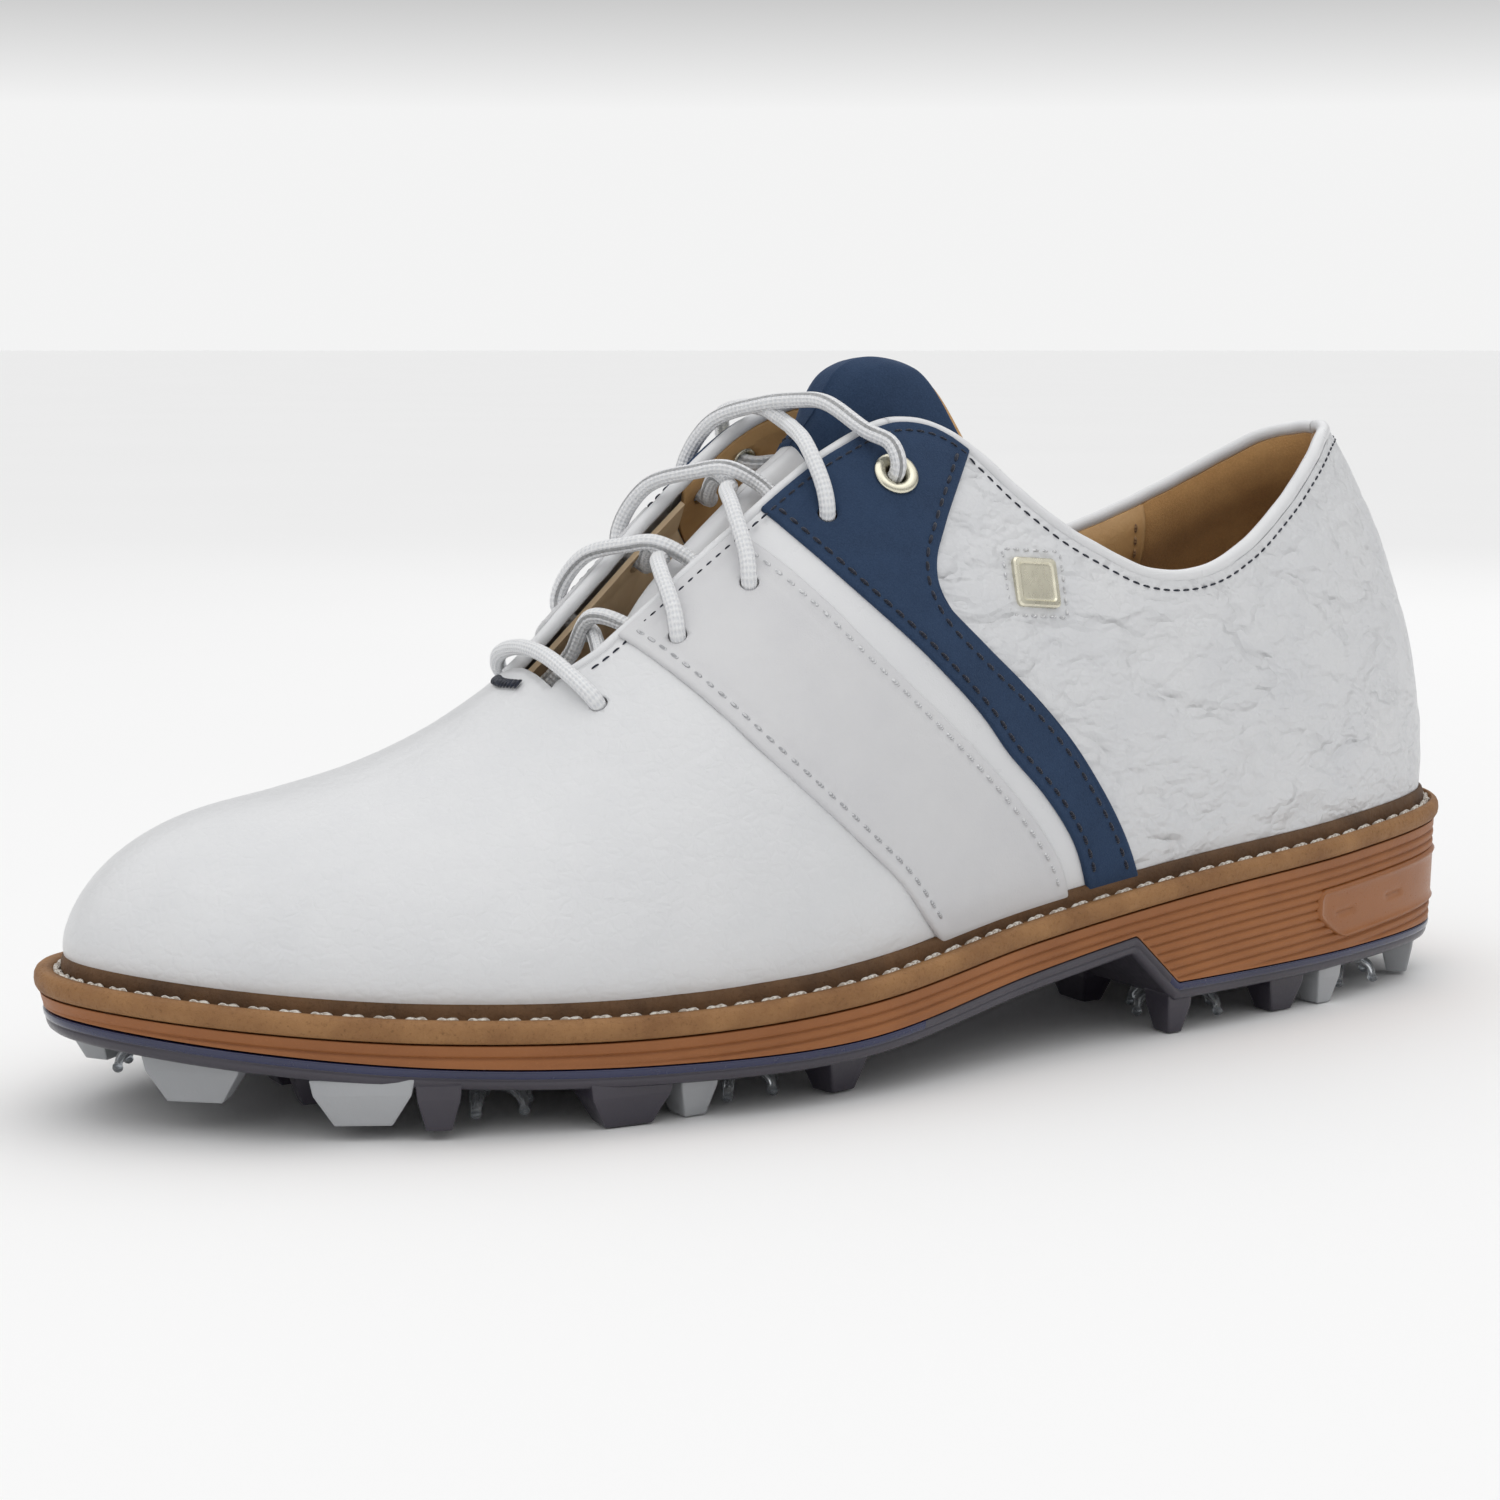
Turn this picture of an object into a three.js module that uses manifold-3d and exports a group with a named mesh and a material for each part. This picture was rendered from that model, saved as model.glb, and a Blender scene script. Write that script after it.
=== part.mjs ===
// Golf shoe for the left foot: a welted leather upper on a rubber midsole and a cleated outsole.
// Millimetres. +X towards the toe, +Y towards the outer side of the foot, +Z up, standing on z = 0.
import * as THREE from 'three';
import { mergeVertices } from 'three/addons/utils/BufferGeometryUtils.js';
import Module from 'manifold-3d';

const wasm = await Module();
wasm.setup();

// ---- Sole plan and heights -------------------------------------------------------------------

// Plan outline of the sole: heel back, along the outer side to the toe, back along the inner side.
const SOLE_OUTLINE = [
  [0, 0], [9, 22], [41, 34.5], [84, 42], [129, 46], [174, 54.5], [215, 52], [254, 40.5],
  [286, 23.5], [303, 2], [301, -18], [285, -35], [255, -48], [215, -53], [175, -46],
  [130, -36], [85, -33.5], [40, -34], [9, -22],
];
const TURNS = SOLE_OUTLINE.length;

const weltBottom = smoothTable([0, 45, 90, 130, 170, 210, 250, 306], [34.4, 31, 27.9, 23, 17.9, 15.9, 17, 22.8]);
const heelTread = smoothTable([0, 45, 93], [8.4, 7.4, 7.2]);
const forefootTread = smoothTable([104, 130, 170, 210, 250, 306], [17.6, 13.5, 7.8, 7.3, 9.1, 16.4]);
const HEEL_BREAST = [93, 104];
const OUTSOLE_THICKNESS = 3.6;
const LUG_HEIGHT = 7.4;
const GAP = 0.3;

const WELT_THICKNESS = 4.6;
const WELT_WIDTH = 9;
const FEATHER_RISE = 5;
const BOARD_INSET = 10.1;
const FILLER_TOP = 2.9;
const BOARD_TOP = 5.6;
const FOOTBED_TOP = 10.5;
const SHANK = { x: [68, 172], y: [-7, 7], z: [0.8, 2.4] };

// ---- Last: the outer surface of the upper ----------------------------------------------------

const FEATHER_INSET = smoothTable([0, 60, 120, 200, 306], [4, 4.5, 5.5, 5.5, 5.5]);
const RIDGE_HEIGHT = smoothTable(
  [26, 75, 100, 120, 141, 155, 175, 195, 212, 225, 240, 255, 272],
  [118, 118, 122, 128, 130.5, 125, 109.5, 91.5, 75, 66.3, 59.7, 55.8, 53],
);
const RIDGE_SIDE = smoothTable([26, 75, 110, 150, 200, 250, 272], [0, 0, 0, -2, -3.5, -7, -8.5]);
const SHOULDER = smoothTable([26, 90, 130, 175, 215, 250, 272], [2.1, 2.1, 2, 1.8, 1.9, 2.2, 2.7]);
const ROUNDNESS = smoothTable([26, 90, 130, 175, 215, 250, 272], [1.1, 1.15, 1.35, 1.45, 1.75, 2, 2.3]);
const BULGE = smoothTable([0, 60, 120, 200, 260, 306], [0.8, 1.2, 1.5, 2.5, 2.2, 1]);
const BULGE_HEIGHT = 0.22;
// The inner side of the instep is fuller towards the ridge, by up to this many millimetres.
const INSTEP_FULLNESS = smoothTable([108, 130, 150, 165, 180, 195, 214], [0, 5, 10.5, 10.5, 7, 2.5, 0]);
const FULLNESS_PEAK = 3.9;
const FULLNESS_RISE = 5;
const COLLAR_CENTRE_X = 75;
const COLLAR_BACK_X = 26;
const COLLAR_HALF_WIDTH = 17;
const COLLAR_FRONT_X = 140;
const TOE_FAN_X = 205;
const TOE_RIDGE_END_X = 266;

// ---- Layers, as distances outwards from the last ---------------------------------------------

const LEATHER = { outer: 0, inner: -1.4 };
const OVERLAY = { outer: 0.5, inner: -1.4 };
const STIFFENER = { outer: -1.9, inner: -2.7 };
const LINING = { outer: -3.2, inner: -4.2 };

// ---- Seams: place along the outline as a function of height on the last ----------------------

const VAMP_SEAM = smoothTable(
  [0, 0.062, 0.149, 0.243, 0.396, 0.512, 0.658, 0.803, 0.932],
  [4.46, 4.57, 4.71, 4.88, 5.12, 5.27, 5.42, 5.55, 5.65],
);
const STRAP_FRONT = smoothTable(
  [0, 0.119, 0.214, 0.307, 0.355, 0.483, 0.651, 0.798, 0.897],
  [3.65, 3.75, 3.89, 4.07, 4.14, 4.36, 4.63, 4.81, 4.91],
);
const STRAP_REAR = smoothTable(
  [0, 0.106, 0.209, 0.314, 0.393, 0.46, 0.562, 0.616, 0.652, 0.703, 0.779, 0.851],
  [3.37, 3.47, 3.59, 3.74, 3.89, 4.05, 4.24, 4.27, 4.25, 4.17, 4.04, 3.92],
);
const SEAM_GAP = 0.009;
const THROAT_BASE = 5.95;
const THROAT_BASE_HEIGHT = 0.955;
const LINING_SEAM = 2.4;
const TOP_EDGE_DROP = 0.02;
const TOP_PLACES = [0, 1.1, 1.59, 1.94, 2.27, 2.54, 2.82, 3.03, 3.23, 3.41, 3.63, 3.79, 3.91, 4.02, 4.2, 4.5, 4.91];
const OUTER_TOP = smoothTable(
  [...TOP_PLACES, 5.2, 5.54, 5.75, THROAT_BASE],
  [0.985, 0.982, 0.956, 0.888, 0.8, 0.721, 0.662, 0.647, 0.656, 0.689, 0.735, 0.79, 0.845, 0.88, 0.9, 0.9, 0.906,
    0.914, 0.927, 0.944, THROAT_BASE_HEIGHT + TOP_EDGE_DROP],
);
const INNER_TOP = smoothTable(
  [...TOP_PLACES, 5.2, 5.54, 5.75, THROAT_BASE],
  [0.985, 0.982, 0.96, 0.9, 0.83, 0.77, 0.715, 0.695, 0.7, 0.725, 0.765, 0.81, 0.86, 0.9, 0.935, 0.955, 0.96,
    0.962, 0.965, 0.97, THROAT_BASE_HEIGHT + TOP_EDGE_DROP],
);

// ---- Lacing ----------------------------------------------------------------------------------

// Lace holes from the throat base up: place along the shoe in x, and arch position.
// The arch position is 0 on the ridge, 1 at the outer feather and -1 at the inner feather.
const LACE_HOLES = [
  { outer: { x: 208, arch: 0.34 }, inner: { x: 208, arch: -0.3 } },
  { outer: { x: 192.5, arch: 0.375 }, inner: { x: 196, arch: -0.29 } },
  { outer: { x: 178, arch: 0.4 }, inner: { x: 182, arch: -0.29 } },
  { outer: { x: 160.5, arch: 0.4 }, inner: { x: 166.5, arch: -0.29 } },
  { outer: { x: 145, arch: 0.4 }, inner: { x: 156, arch: -0.3 } },
];
const laceHole = (side, row) => (side > 0 ? LACE_HOLES[row].outer : LACE_HOLES[row].inner);
const LACE_HOLE_RADIUS = 2.9;
const LACE_RADIUS = 1.6;
const EYELET = { bore: 2.15, barrel: 2.65, flange: 4.3, top: 1.45, bottom: -4.7 };

// ---- Cleats ----------------------------------------------------------------------------------

const CLEATS = [
  { name: 'cleat_toe', x: 281, y: -6 },
  { name: 'cleat_ball_front_outer', x: 236, y: 27 },
  { name: 'cleat_ball_front_inner', x: 240, y: -33 },
  { name: 'cleat_ball_rear_outer', x: 190, y: 34 },
  { name: 'cleat_ball_rear_inner', x: 192, y: -33 },
  { name: 'cleat_heel_front_outer', x: 80, y: 24 },
  { name: 'cleat_heel_front_inner', x: 80, y: -18 },
  { name: 'cleat_heel_rear_outer', x: 33, y: 17 },
  { name: 'cleat_heel_rear_inner', x: 33, y: -17 },
];
const CLEAT = { height: 6.8, disc: 8.2, discTop: -0.3, discBottom: -2.1, stud: 4.1, studTop: 2.5, legs: 6, foot: 10.3 };
const RECEPTACLE = { radius: 8.8, bore: 4.5, top: 3.2, boreTop: 2.8 };

// ---- Materials -------------------------------------------------------------------------------

const WHITE = material(0xf0f0ee, 0.45);
const PALE_GREY = material(0xdfdfe2, 0.5);
const NAVY = material(0x27395f, 0.85);
const TAN = material(0xc99a5f, 0.6);
const SUEDE = material(0xa9712f, 0.9);
const RUBBER = material(0x9a5a2c, 0.7);
const WELT_LEATHER = material(0x9c6c3c, 0.8);
const TREAD = material(0x20264a, 0.3);
const CORK = material(0xa57b4c, 0.95);
const BOARD = material(0xb89468, 0.9);
const FOAM = material(0xe6dfc8, 0.95);
const FOOTBED = material(0x3a3f4c, 0.8);
const STEEL = material(0xa8acb0, 0.35, 1);
const BRASS = material(0xd9cfa0, 0.3, 1);
const LACE = material(0xf4f4f4, 0.6);
const CLEAR = material(0xe8ecee, 0.2);
const CLEAT_PLASTIC = material(0x6f7478, 0.2);
const RECEPTACLE_PLASTIC = material(0x30343c, 0.5);

function material(color, roughness, metalness = 0) {
  return new THREE.MeshStandardMaterial({ color, roughness, metalness, side: THREE.DoubleSide });
}

// ---- Curve helpers ---------------------------------------------------------------------------

// A smooth curve through (x, y) pairs, held level beyond both ends.
function smoothTable(xs, ys) {
  const last = xs.length - 1;
  const rise = xs.slice(1).map((x, i) => (ys[i + 1] - ys[i]) / (x - xs[i]));
  const slope = xs.map((x, i) => {
    if (i === 0) return rise[0];
    if (i === last) return rise[last - 1];
    const before = x - xs[i - 1];
    const after = xs[i + 1] - x;
    return (rise[i - 1] * after + rise[i] * before) / (before + after);
  });
  return (x) => {
    const at = THREE.MathUtils.clamp(x, xs[0], xs[last]);
    let i = 0;
    while (i < last - 1 && at > xs[i + 1]) i += 1;
    const span = xs[i + 1] - xs[i];
    const t = (at - xs[i]) / span;
    const start = ys[i] * (1 + 2 * t) * (1 - t) ** 2 + slope[i] * span * t * (1 - t) ** 2;
    const end = ys[i + 1] * t * t * (3 - 2 * t) + slope[i + 1] * span * t * t * (t - 1);
    return start + end;
  };
}

const mix = THREE.MathUtils.lerp;

// Eases from 0 with slope m to 1 with slope 1.
function ease(u, m) {
  return m * u + (3 - 2 * m) * u ** 2 + (m - 2) * u ** 3;
}

function treadHeight(x) {
  const [low, high] = HEEL_BREAST;
  if (x <= low) return heelTread(x);
  if (x >= high) return forefootTread(x);
  return mix(heelTread(low), forefootTread(high), (x - low) / (high - low));
}

// Point on the closed plan outline, moved inwards by inset. Place runs 0 to TURNS round the shoe.
function outlinePoint(place, inset = 0) {
  const at = ((place % TURNS) + TURNS) % TURNS;
  const i = Math.floor(at);
  const u = at - i;
  const [p0, p1, p2, p3] = [i - 1, i, i + 1, i + 2].map((k) => SOLE_OUTLINE[(k + TURNS) % TURNS]);
  const value = (k) => 0.5 * (2 * p1[k] + (p2[k] - p0[k]) * u + (2 * p0[k] - 5 * p1[k] + 4 * p2[k] - p3[k]) * u * u
    + (3 * p1[k] - p0[k] - 3 * p2[k] + p3[k]) * u ** 3);
  const speed = (k) => 0.5 * (p2[k] - p0[k] + 2 * (2 * p0[k] - 5 * p1[k] + 4 * p2[k] - p3[k]) * u
    + 3 * (3 * p1[k] - p0[k] - 3 * p2[k] + p3[k]) * u * u);
  const along = new THREE.Vector2(speed(0), speed(1)).normalize();
  const distance = typeof inset === 'function' ? inset(value(0)) : inset;
  return { x: value(0) + along.y * distance, y: value(1) - along.x * distance, outX: -along.y, outY: along.x };
}

const featherPoint = (place) => outlinePoint(place, FEATHER_INSET);

// Place of the foremost feather point, and the feather's reach in x.
const TOE_PLACE = (() => {
  let best = 9;
  for (let place = 8.5; place < 10.5; place += 0.001) {
    if (featherPoint(place).x > featherPoint(best).x) best = place;
  }
  return best;
})();
const FEATHER_BACK_X = featherPoint(0).x;
const FEATHER_TOE_X = featherPoint(TOE_PLACE).x;

// Point of the upper's outer surface. Height runs from 0 at the feather to 1 at the ridge.
function lastPoint(place, height) {
  const foot = featherPoint(place);
  const turned = ((place % TURNS) + TURNS) % TURNS;
  const side = turned < TOE_PLACE ? 1 : -1;
  let topX = foot.x;
  let spread = 0;
  if (foot.x < COLLAR_CENTRE_X) {
    const reach = COLLAR_CENTRE_X - COLLAR_BACK_X;
    const span = COLLAR_CENTRE_X - FEATHER_BACK_X;
    const k = ease((COLLAR_CENTRE_X - foot.x) / span, span / reach);
    topX = COLLAR_CENTRE_X - reach * k;
    spread = COLLAR_HALF_WIDTH * Math.sqrt(Math.max(0, 1 - k * k));
  } else {
    const v = Math.min(1, (foot.x - COLLAR_CENTRE_X) / (COLLAR_FRONT_X - COLLAR_CENTRE_X));
    spread = COLLAR_HALF_WIDTH * (1 - v * v * (3 - 2 * v));
  }
  let fall = 0;
  if (foot.x > TOE_FAN_X) {
    const reach = TOE_RIDGE_END_X - TOE_FAN_X;
    const span = FEATHER_TOE_X - TOE_FAN_X;
    topX = TOE_FAN_X + reach * ease((foot.x - TOE_FAN_X) / span, span / reach);
    fall = RIDGE_HEIGHT(topX + 0.5) - RIDGE_HEIGHT(topX - 0.5);
  }
  const topY = RIDGE_SIDE(topX) + side * spread;
  const low = weltBottom(foot.x) + FEATHER_RISE;
  const h = THREE.MathUtils.clamp(height, 0, 1);
  const rho = Math.max(0, 1 - h ** SHOULDER(topX)) ** (1 / ROUNDNESS(topX));
  const lean = h / BULGE_HEIGHT;
  const bulge = BULGE(foot.x) * lean * Math.exp(1 - lean) * (1 - h);
  const x = mix(topX, foot.x, rho) + foot.outX * bulge;
  const share = side < 0 ? FULLNESS_PEAK * h ** FULLNESS_RISE * Math.sqrt(1 - h * h) : 0;
  const y = mix(topY, foot.y, rho) + foot.outY * bulge - INSTEP_FULLNESS(topX) * share;
  const top = RIDGE_HEIGHT(topX) + fall * (x - topX);
  return new THREE.Vector3(x, y, mix(low, top, h));
}

// Place on the outer (side 1) or inner (side -1) half whose feather point lies at this x.
function placeAt(side, x) {
  let [back, front] = side > 0 ? [0, TOE_PLACE] : [TURNS, TOE_PLACE];
  for (let i = 0; i < 40; i += 1) {
    const middle = (back + front) / 2;
    if (featherPoint(middle).x < x) back = middle;
    else front = middle;
  }
  return (back + front) / 2;
}

// Place s steps along the outline from the heel, on either side.
const sidePlace = (side, s) => (side > 0 ? s : TURNS - s);

const archAngle = (height) => Math.asin(height);

// Point over the arch of the shoe at x, with arch position -1 to 1, lifted off the last.
function archPoint(x, arch, lift = 0) {
  const at = (station, position) => {
    const side = position < 0 ? -1 : 1;
    return lastPoint(placeAt(side, station), Math.cos((Math.abs(position) * Math.PI) / 2));
  };
  const across = at(x, arch + 0.02).sub(at(x, arch - 0.02));
  const along = at(x + 1, arch).sub(at(x - 1, arch));
  return at(x, arch).addScaledVector(across.cross(along).normalize(), -lift);
}

const archNormal = (x, arch) => archPoint(x, arch, 1).sub(archPoint(x, arch)).normalize();

// Outward normal of the last away from the ridge.
function lastNormal(place, height) {
  const along = lastPoint(place + 0.02, height).sub(lastPoint(place - 0.02, height));
  const up = lastPoint(place, Math.min(height + 0.01, 0.999)).sub(lastPoint(place, height - 0.01));
  return up.cross(along).normalize();
}

function lastCorner(place, height) {
  return { point: lastPoint(place, height), lift: 0, normal: lastNormal(place, height) };
}

// ---- Solid helpers ---------------------------------------------------------------------------

function geometryFrom(positions, triangles) {
  const geometry = new THREE.BufferGeometry();
  geometry.setAttribute('position', new THREE.Float32BufferAttribute(positions, 3));
  geometry.setIndex(triangles);
  return geometry;
}

// A closed sheet of even thickness on one or more joined grids of last points.
// Each grid is rows of { point, lift, normal }; lift moves the whole sheet off the last at that point,
// and a corner without a normal takes the mean of its faces' normals.
function sheet(grids, layer) {
  const corners = [];
  const known = new Map();
  const triangles = [];
  const cornerOf = ({ point, lift, normal }) => {
    const key = point.toArray().map((v) => v.toFixed(3)).join();
    if (!known.has(key)) {
      known.set(key, corners.length);
      corners.push({ point, lift, normal: normal ?? new THREE.Vector3(), settled: Boolean(normal) });
    }
    return known.get(key);
  };
  const normalOf = (triangle) => {
    const [a, b, c] = triangle.map((i) => corners[i].point);
    return b.clone().sub(a).cross(c.clone().sub(a));
  };
  for (const grid of grids) {
    const made = [];
    for (let i = 0; i + 1 < grid.length; i += 1) {
      for (let j = 0; j + 1 < grid[i].length; j += 1) {
        const [a, b, c, d] = [grid[i][j], grid[i + 1][j], grid[i + 1][j + 1], grid[i][j + 1]].map(cornerOf);
        for (const triangle of [[a, b, c], [a, c, d]]) {
          if (new Set(triangle).size === 3) made.push(triangle);
        }
      }
    }
    const outwards = made.reduce((sum, triangle) => {
      const { point } = corners[triangle[0]];
      return sum + normalOf(triangle).dot(new THREE.Vector3(point.x * 0.4 - 60, point.y, point.z - 45));
    }, 0);
    triangles.push(...(outwards < 0 ? made.map(([a, b, c]) => [a, c, b]) : made));
  }
  for (const triangle of triangles) {
    const normal = normalOf(triangle);
    for (const i of triangle) {
      if (!corners[i].settled) corners[i].normal.add(normal);
    }
  }
  const positions = [];
  for (const offset of [layer.outer, layer.inner]) {
    for (const { point, lift, normal } of corners) {
      positions.push(...point.clone().addScaledVector(normal.clone().normalize(), offset + lift).toArray());
    }
  }
  const count = corners.length;
  const directed = new Set();
  for (const [a, b, c] of triangles) {
    for (const edge of [[a, b], [b, c], [c, a]]) directed.add(edge.join());
  }
  const faces = [];
  for (const [a, b, c] of triangles) {
    faces.push(a, b, c, a + count, c + count, b + count);
    for (const [p, q] of [[a, b], [b, c], [c, a]]) {
      if (!directed.has([q, p].join())) faces.push(q, p, p + count, q, p + count, q + count);
    }
  }
  return geometryFrom(positions, faces);
}

// A grid of last points between a front and a rear seam, under the top edge of one side.
function panelGrid(side, front, rear, columns, rows, top = topEdge(side)) {
  const seamTop = (seam) => {
    let s = seam(0.9);
    for (let i = 0; i < 12; i += 1) s = seam(top(s));
    return s;
  };
  const [frontTop, rearTop] = [seamTop(front), seamTop(rear)];
  const grid = [];
  for (let i = 0; i <= columns; i += 1) {
    const w = i / columns;
    const column = [];
    const sTop = mix(frontTop, rearTop, w);
    for (let j = 0; j <= rows; j += 1) {
      const v = j / rows;
      const angle = (s) => archAngle(top(s)) * v;
      const s = mix(front(Math.sin(angle(frontTop))), rear(Math.sin(angle(rearTop))), w);
      const height = Math.sin(angle(sTop));
      column.push(lastCorner(sidePlace(side, s), height));
    }
    grid.push(column);
  }
  return grid;
}

// Height of the panels' cut edge along one side.
function topEdge(side) {
  const table = side > 0 ? OUTER_TOP : INNER_TOP;
  return (s) => table(s) - TOP_EDGE_DROP;
}

// A band of last points across the heel from s on the inner side to s on the outer side.
function heelGrid(s, columns, rows, low, high) {
  const grid = [];
  for (let i = 0; i <= columns; i += 1) {
    const place = mix(-s, s, i / columns);
    const side = place < 0 ? -1 : 1;
    const reach = Math.abs(place);
    const column = [];
    for (let j = 0; j <= rows; j += 1) {
      const height = mix(low(reach, side), high(reach, side), j / rows);
      column.push(lastCorner(place, height));
    }
    grid.push(column);
  }
  return grid;
}

// The grid over the forefoot, from the throat base (from = 0) to the toe, as outer and inner halves.
const CROWN_COLUMNS = 9;
const THROAT_X = featherPoint(THROAT_BASE).x;
const SIDE_ROWS = 6;
const BRIDGE_ROWS = 2;
function crownGrids(from = 0) {
  const baseAngle = archAngle(THROAT_BASE_HEIGHT);
  return [1, -1].map((side) => {
    const grid = [];
    for (let i = from; i <= CROWN_COLUMNS; i += 1) {
      const x = mix(THROAT_X, FEATHER_TOE_X, Math.sin((i / CROWN_COLUMNS) * (Math.PI / 2)));
      const place = i === CROWN_COLUMNS ? TOE_PLACE : placeAt(side, x);
      const column = [];
      for (let j = 0; j <= SIDE_ROWS + BRIDGE_ROWS; j += 1) {
        const angle = j <= SIDE_ROWS
          ? (baseAngle * j) / SIDE_ROWS
          : mix(baseAngle, Math.PI / 2, (j - SIDE_ROWS) / BRIDGE_ROWS);
        column.push({ point: lastPoint(place, Math.sin(angle)), lift: 0 });
      }
      grid.push(column);
    }
    return grid;
  });
}

// The wings of the vamp or its lining beside the throat, back to a seam.
function wingGrids(seam, columns) {
  return [1, -1].map((side) => {
    const base = side > 0 ? placeAt(1, THROAT_X) : TURNS - placeAt(-1, THROAT_X);
    const table = topEdge(side);
    const top = (s) => (s > base - 0.001 ? THROAT_BASE_HEIGHT : table(s));
    return panelGrid(side, () => base, seam, columns, SIDE_ROWS, top);
  });
}

// A closed layer of the sole. Rings are [height function, inset] pairs from the bottom up.
function soleLayer(rings, stations, hollowInset) {
  const positions = [];
  const ringOf = ([height, inset]) => {
    const start = positions.length / 3;
    for (let k = 0; k < stations; k += 1) {
      const { x, y } = outlinePoint((k * TURNS) / stations, inset);
      positions.push(x, y, height(x));
    }
    return start;
  };
  const starts = rings.map(ringOf);
  if (hollowInset) starts.push(ringOf([rings.at(-1)[0], hollowInset]), ringOf([rings[0][0], hollowInset]));
  const faces = [];
  const wall = (low, high) => {
    for (let k = 0; k < stations; k += 1) {
      const next = (k + 1) % stations;
      faces.push(low + k, high + next, low + next, low + k, high + k, high + next);
    }
  };
  starts.slice(1).forEach((start, i) => wall(starts[i], start));
  if (hollowInset) {
    wall(starts.at(-1), starts[0]);
    return geometryFrom(positions, faces);
  }
  const [bottom, top] = [starts[0], starts.at(-1)];
  for (let k = 0; k < stations / 2; k += 1) {
    const [a, b] = [k, k + 1];
    const [c, d] = [(stations - b) % stations, (stations - a) % stations];
    for (const [p, q, r] of [[a, b, c], [a, c, d]]) {
      if (new Set([p, q, r]).size === 3) faces.push(bottom + p, bottom + q, bottom + r, top + p, top + r, top + q);
    }
  }
  return geometryFrom(positions, faces);
}

// A closed strip along the shoe whose top and bottom follow functions of x.
function strip([x0, x1], [y0, y1], bottom, top, steps = 12) {
  const positions = [];
  for (let i = 0; i <= steps; i += 1) {
    const x = mix(x0, x1, i / steps);
    positions.push(x, y0, bottom(x), x, y1, bottom(x), x, y1, top(x), x, y0, top(x));
  }
  const faces = [0, 3, 2, 0, 2, 1];
  for (let i = 0; i < steps; i += 1) {
    for (let k = 0; k < 4; k += 1) {
      const [a, b] = [i * 4 + k, i * 4 + ((k + 1) % 4)];
      faces.push(a, b, b + 4, a, b + 4, a + 4);
    }
  }
  const end = steps * 4;
  faces.push(end, end + 1, end + 2, end, end + 2, end + 3);
  return geometryFrom(positions, faces);
}

// A block whose rectangular top and bottom may differ: [x, y] half sizes at two heights.
function taperedBlock([topX, topY], top, [bottomX, bottomY], bottom, [shiftX, shiftY] = [0, 0]) {
  const ring = (x, y, z, cx, cy) => [cx - x, cy - y, z, cx + x, cy - y, z, cx + x, cy + y, z, cx - x, cy + y, z];
  const positions = [...ring(bottomX, bottomY, bottom, shiftX, shiftY), ...ring(topX, topY, top, 0, 0)];
  const faces = [0, 2, 1, 0, 3, 2, 4, 5, 6, 4, 6, 7];
  for (let k = 0; k < 4; k += 1) {
    const next = (k + 1) % 4;
    faces.push(k, next, next + 4, k, next + 4, k + 4);
  }
  return geometryFrom(positions, faces);
}

function lathe(profile, segments) {
  const geometry = new THREE.LatheGeometry(profile.map(([r, z]) => new THREE.Vector2(r, z)), segments);
  return geometry.rotateX(Math.PI / 2);
}

// A round tube whose rings stand on the given points.
class PointRoute extends THREE.Curve {
  constructor(points) {
    super();
    this.curve = new THREE.CatmullRomCurve3(points, false, 'centripetal');
  }

  getPoint(t, target) {
    return this.curve.getPoint(t, target);
  }

  getPointAt(u, target) {
    return this.curve.getPoint(u, target);
  }

  getTangentAt(u, target) {
    return this.curve.getTangent(u, target);
  }

  getSpacedPoints(divisions) {
    return this.getPoints(divisions);
  }
}

function tube(points, radius, sides = 8) {
  const section = new THREE.Shape();
  for (let k = 0; k < sides; k += 1) {
    const angle = (k * 2 * Math.PI) / sides;
    const [x, y] = [radius * Math.cos(angle), radius * Math.sin(angle)];
    if (k === 0) section.moveTo(x, y);
    else section.lineTo(x, y);
  }
  const options = { steps: points.length - 1, bevelEnabled: false, extrudePath: new PointRoute(points) };
  return new THREE.ExtrudeGeometry(section, options);
}

function solidOf(geometry) {
  const bare = geometry.clone();
  bare.deleteAttribute('normal');
  bare.deleteAttribute('uv');
  const merged = mergeVertices(bare, 1e-4);
  return new wasm.Manifold(new wasm.Mesh({
    numProp: 3,
    vertProperties: new Float32Array(merged.attributes.position.array),
    triVerts: new Uint32Array(merged.index.array),
  }));
}

function geometryOf(solid) {
  const mesh = solid.getMesh();
  return geometryFrom(mesh.vertProperties, [...mesh.triVerts]);
}

function cut(geometry, tools) {
  return geometryOf(tools.reduce((solid, tool) => solid.subtract(solidOf(tool)), solidOf(geometry)));
}

function join(geometry, others) {
  return geometryOf(others.reduce((solid, other) => solid.add(solidOf(other)), solidOf(geometry)));
}

// ---- The shoe --------------------------------------------------------------------------------

const shoe = new THREE.Group();

function add(name, geometry, look, parent = shoe) {
  const mesh = new THREE.Mesh(geometry, look);
  mesh.name = name;
  parent.add(mesh);
  return mesh;
}

const aboveWelt = (rise) => (x) => weltBottom(x) + rise;
const aboveTread = (rise) => (x) => treadHeight(x) + rise;

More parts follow.
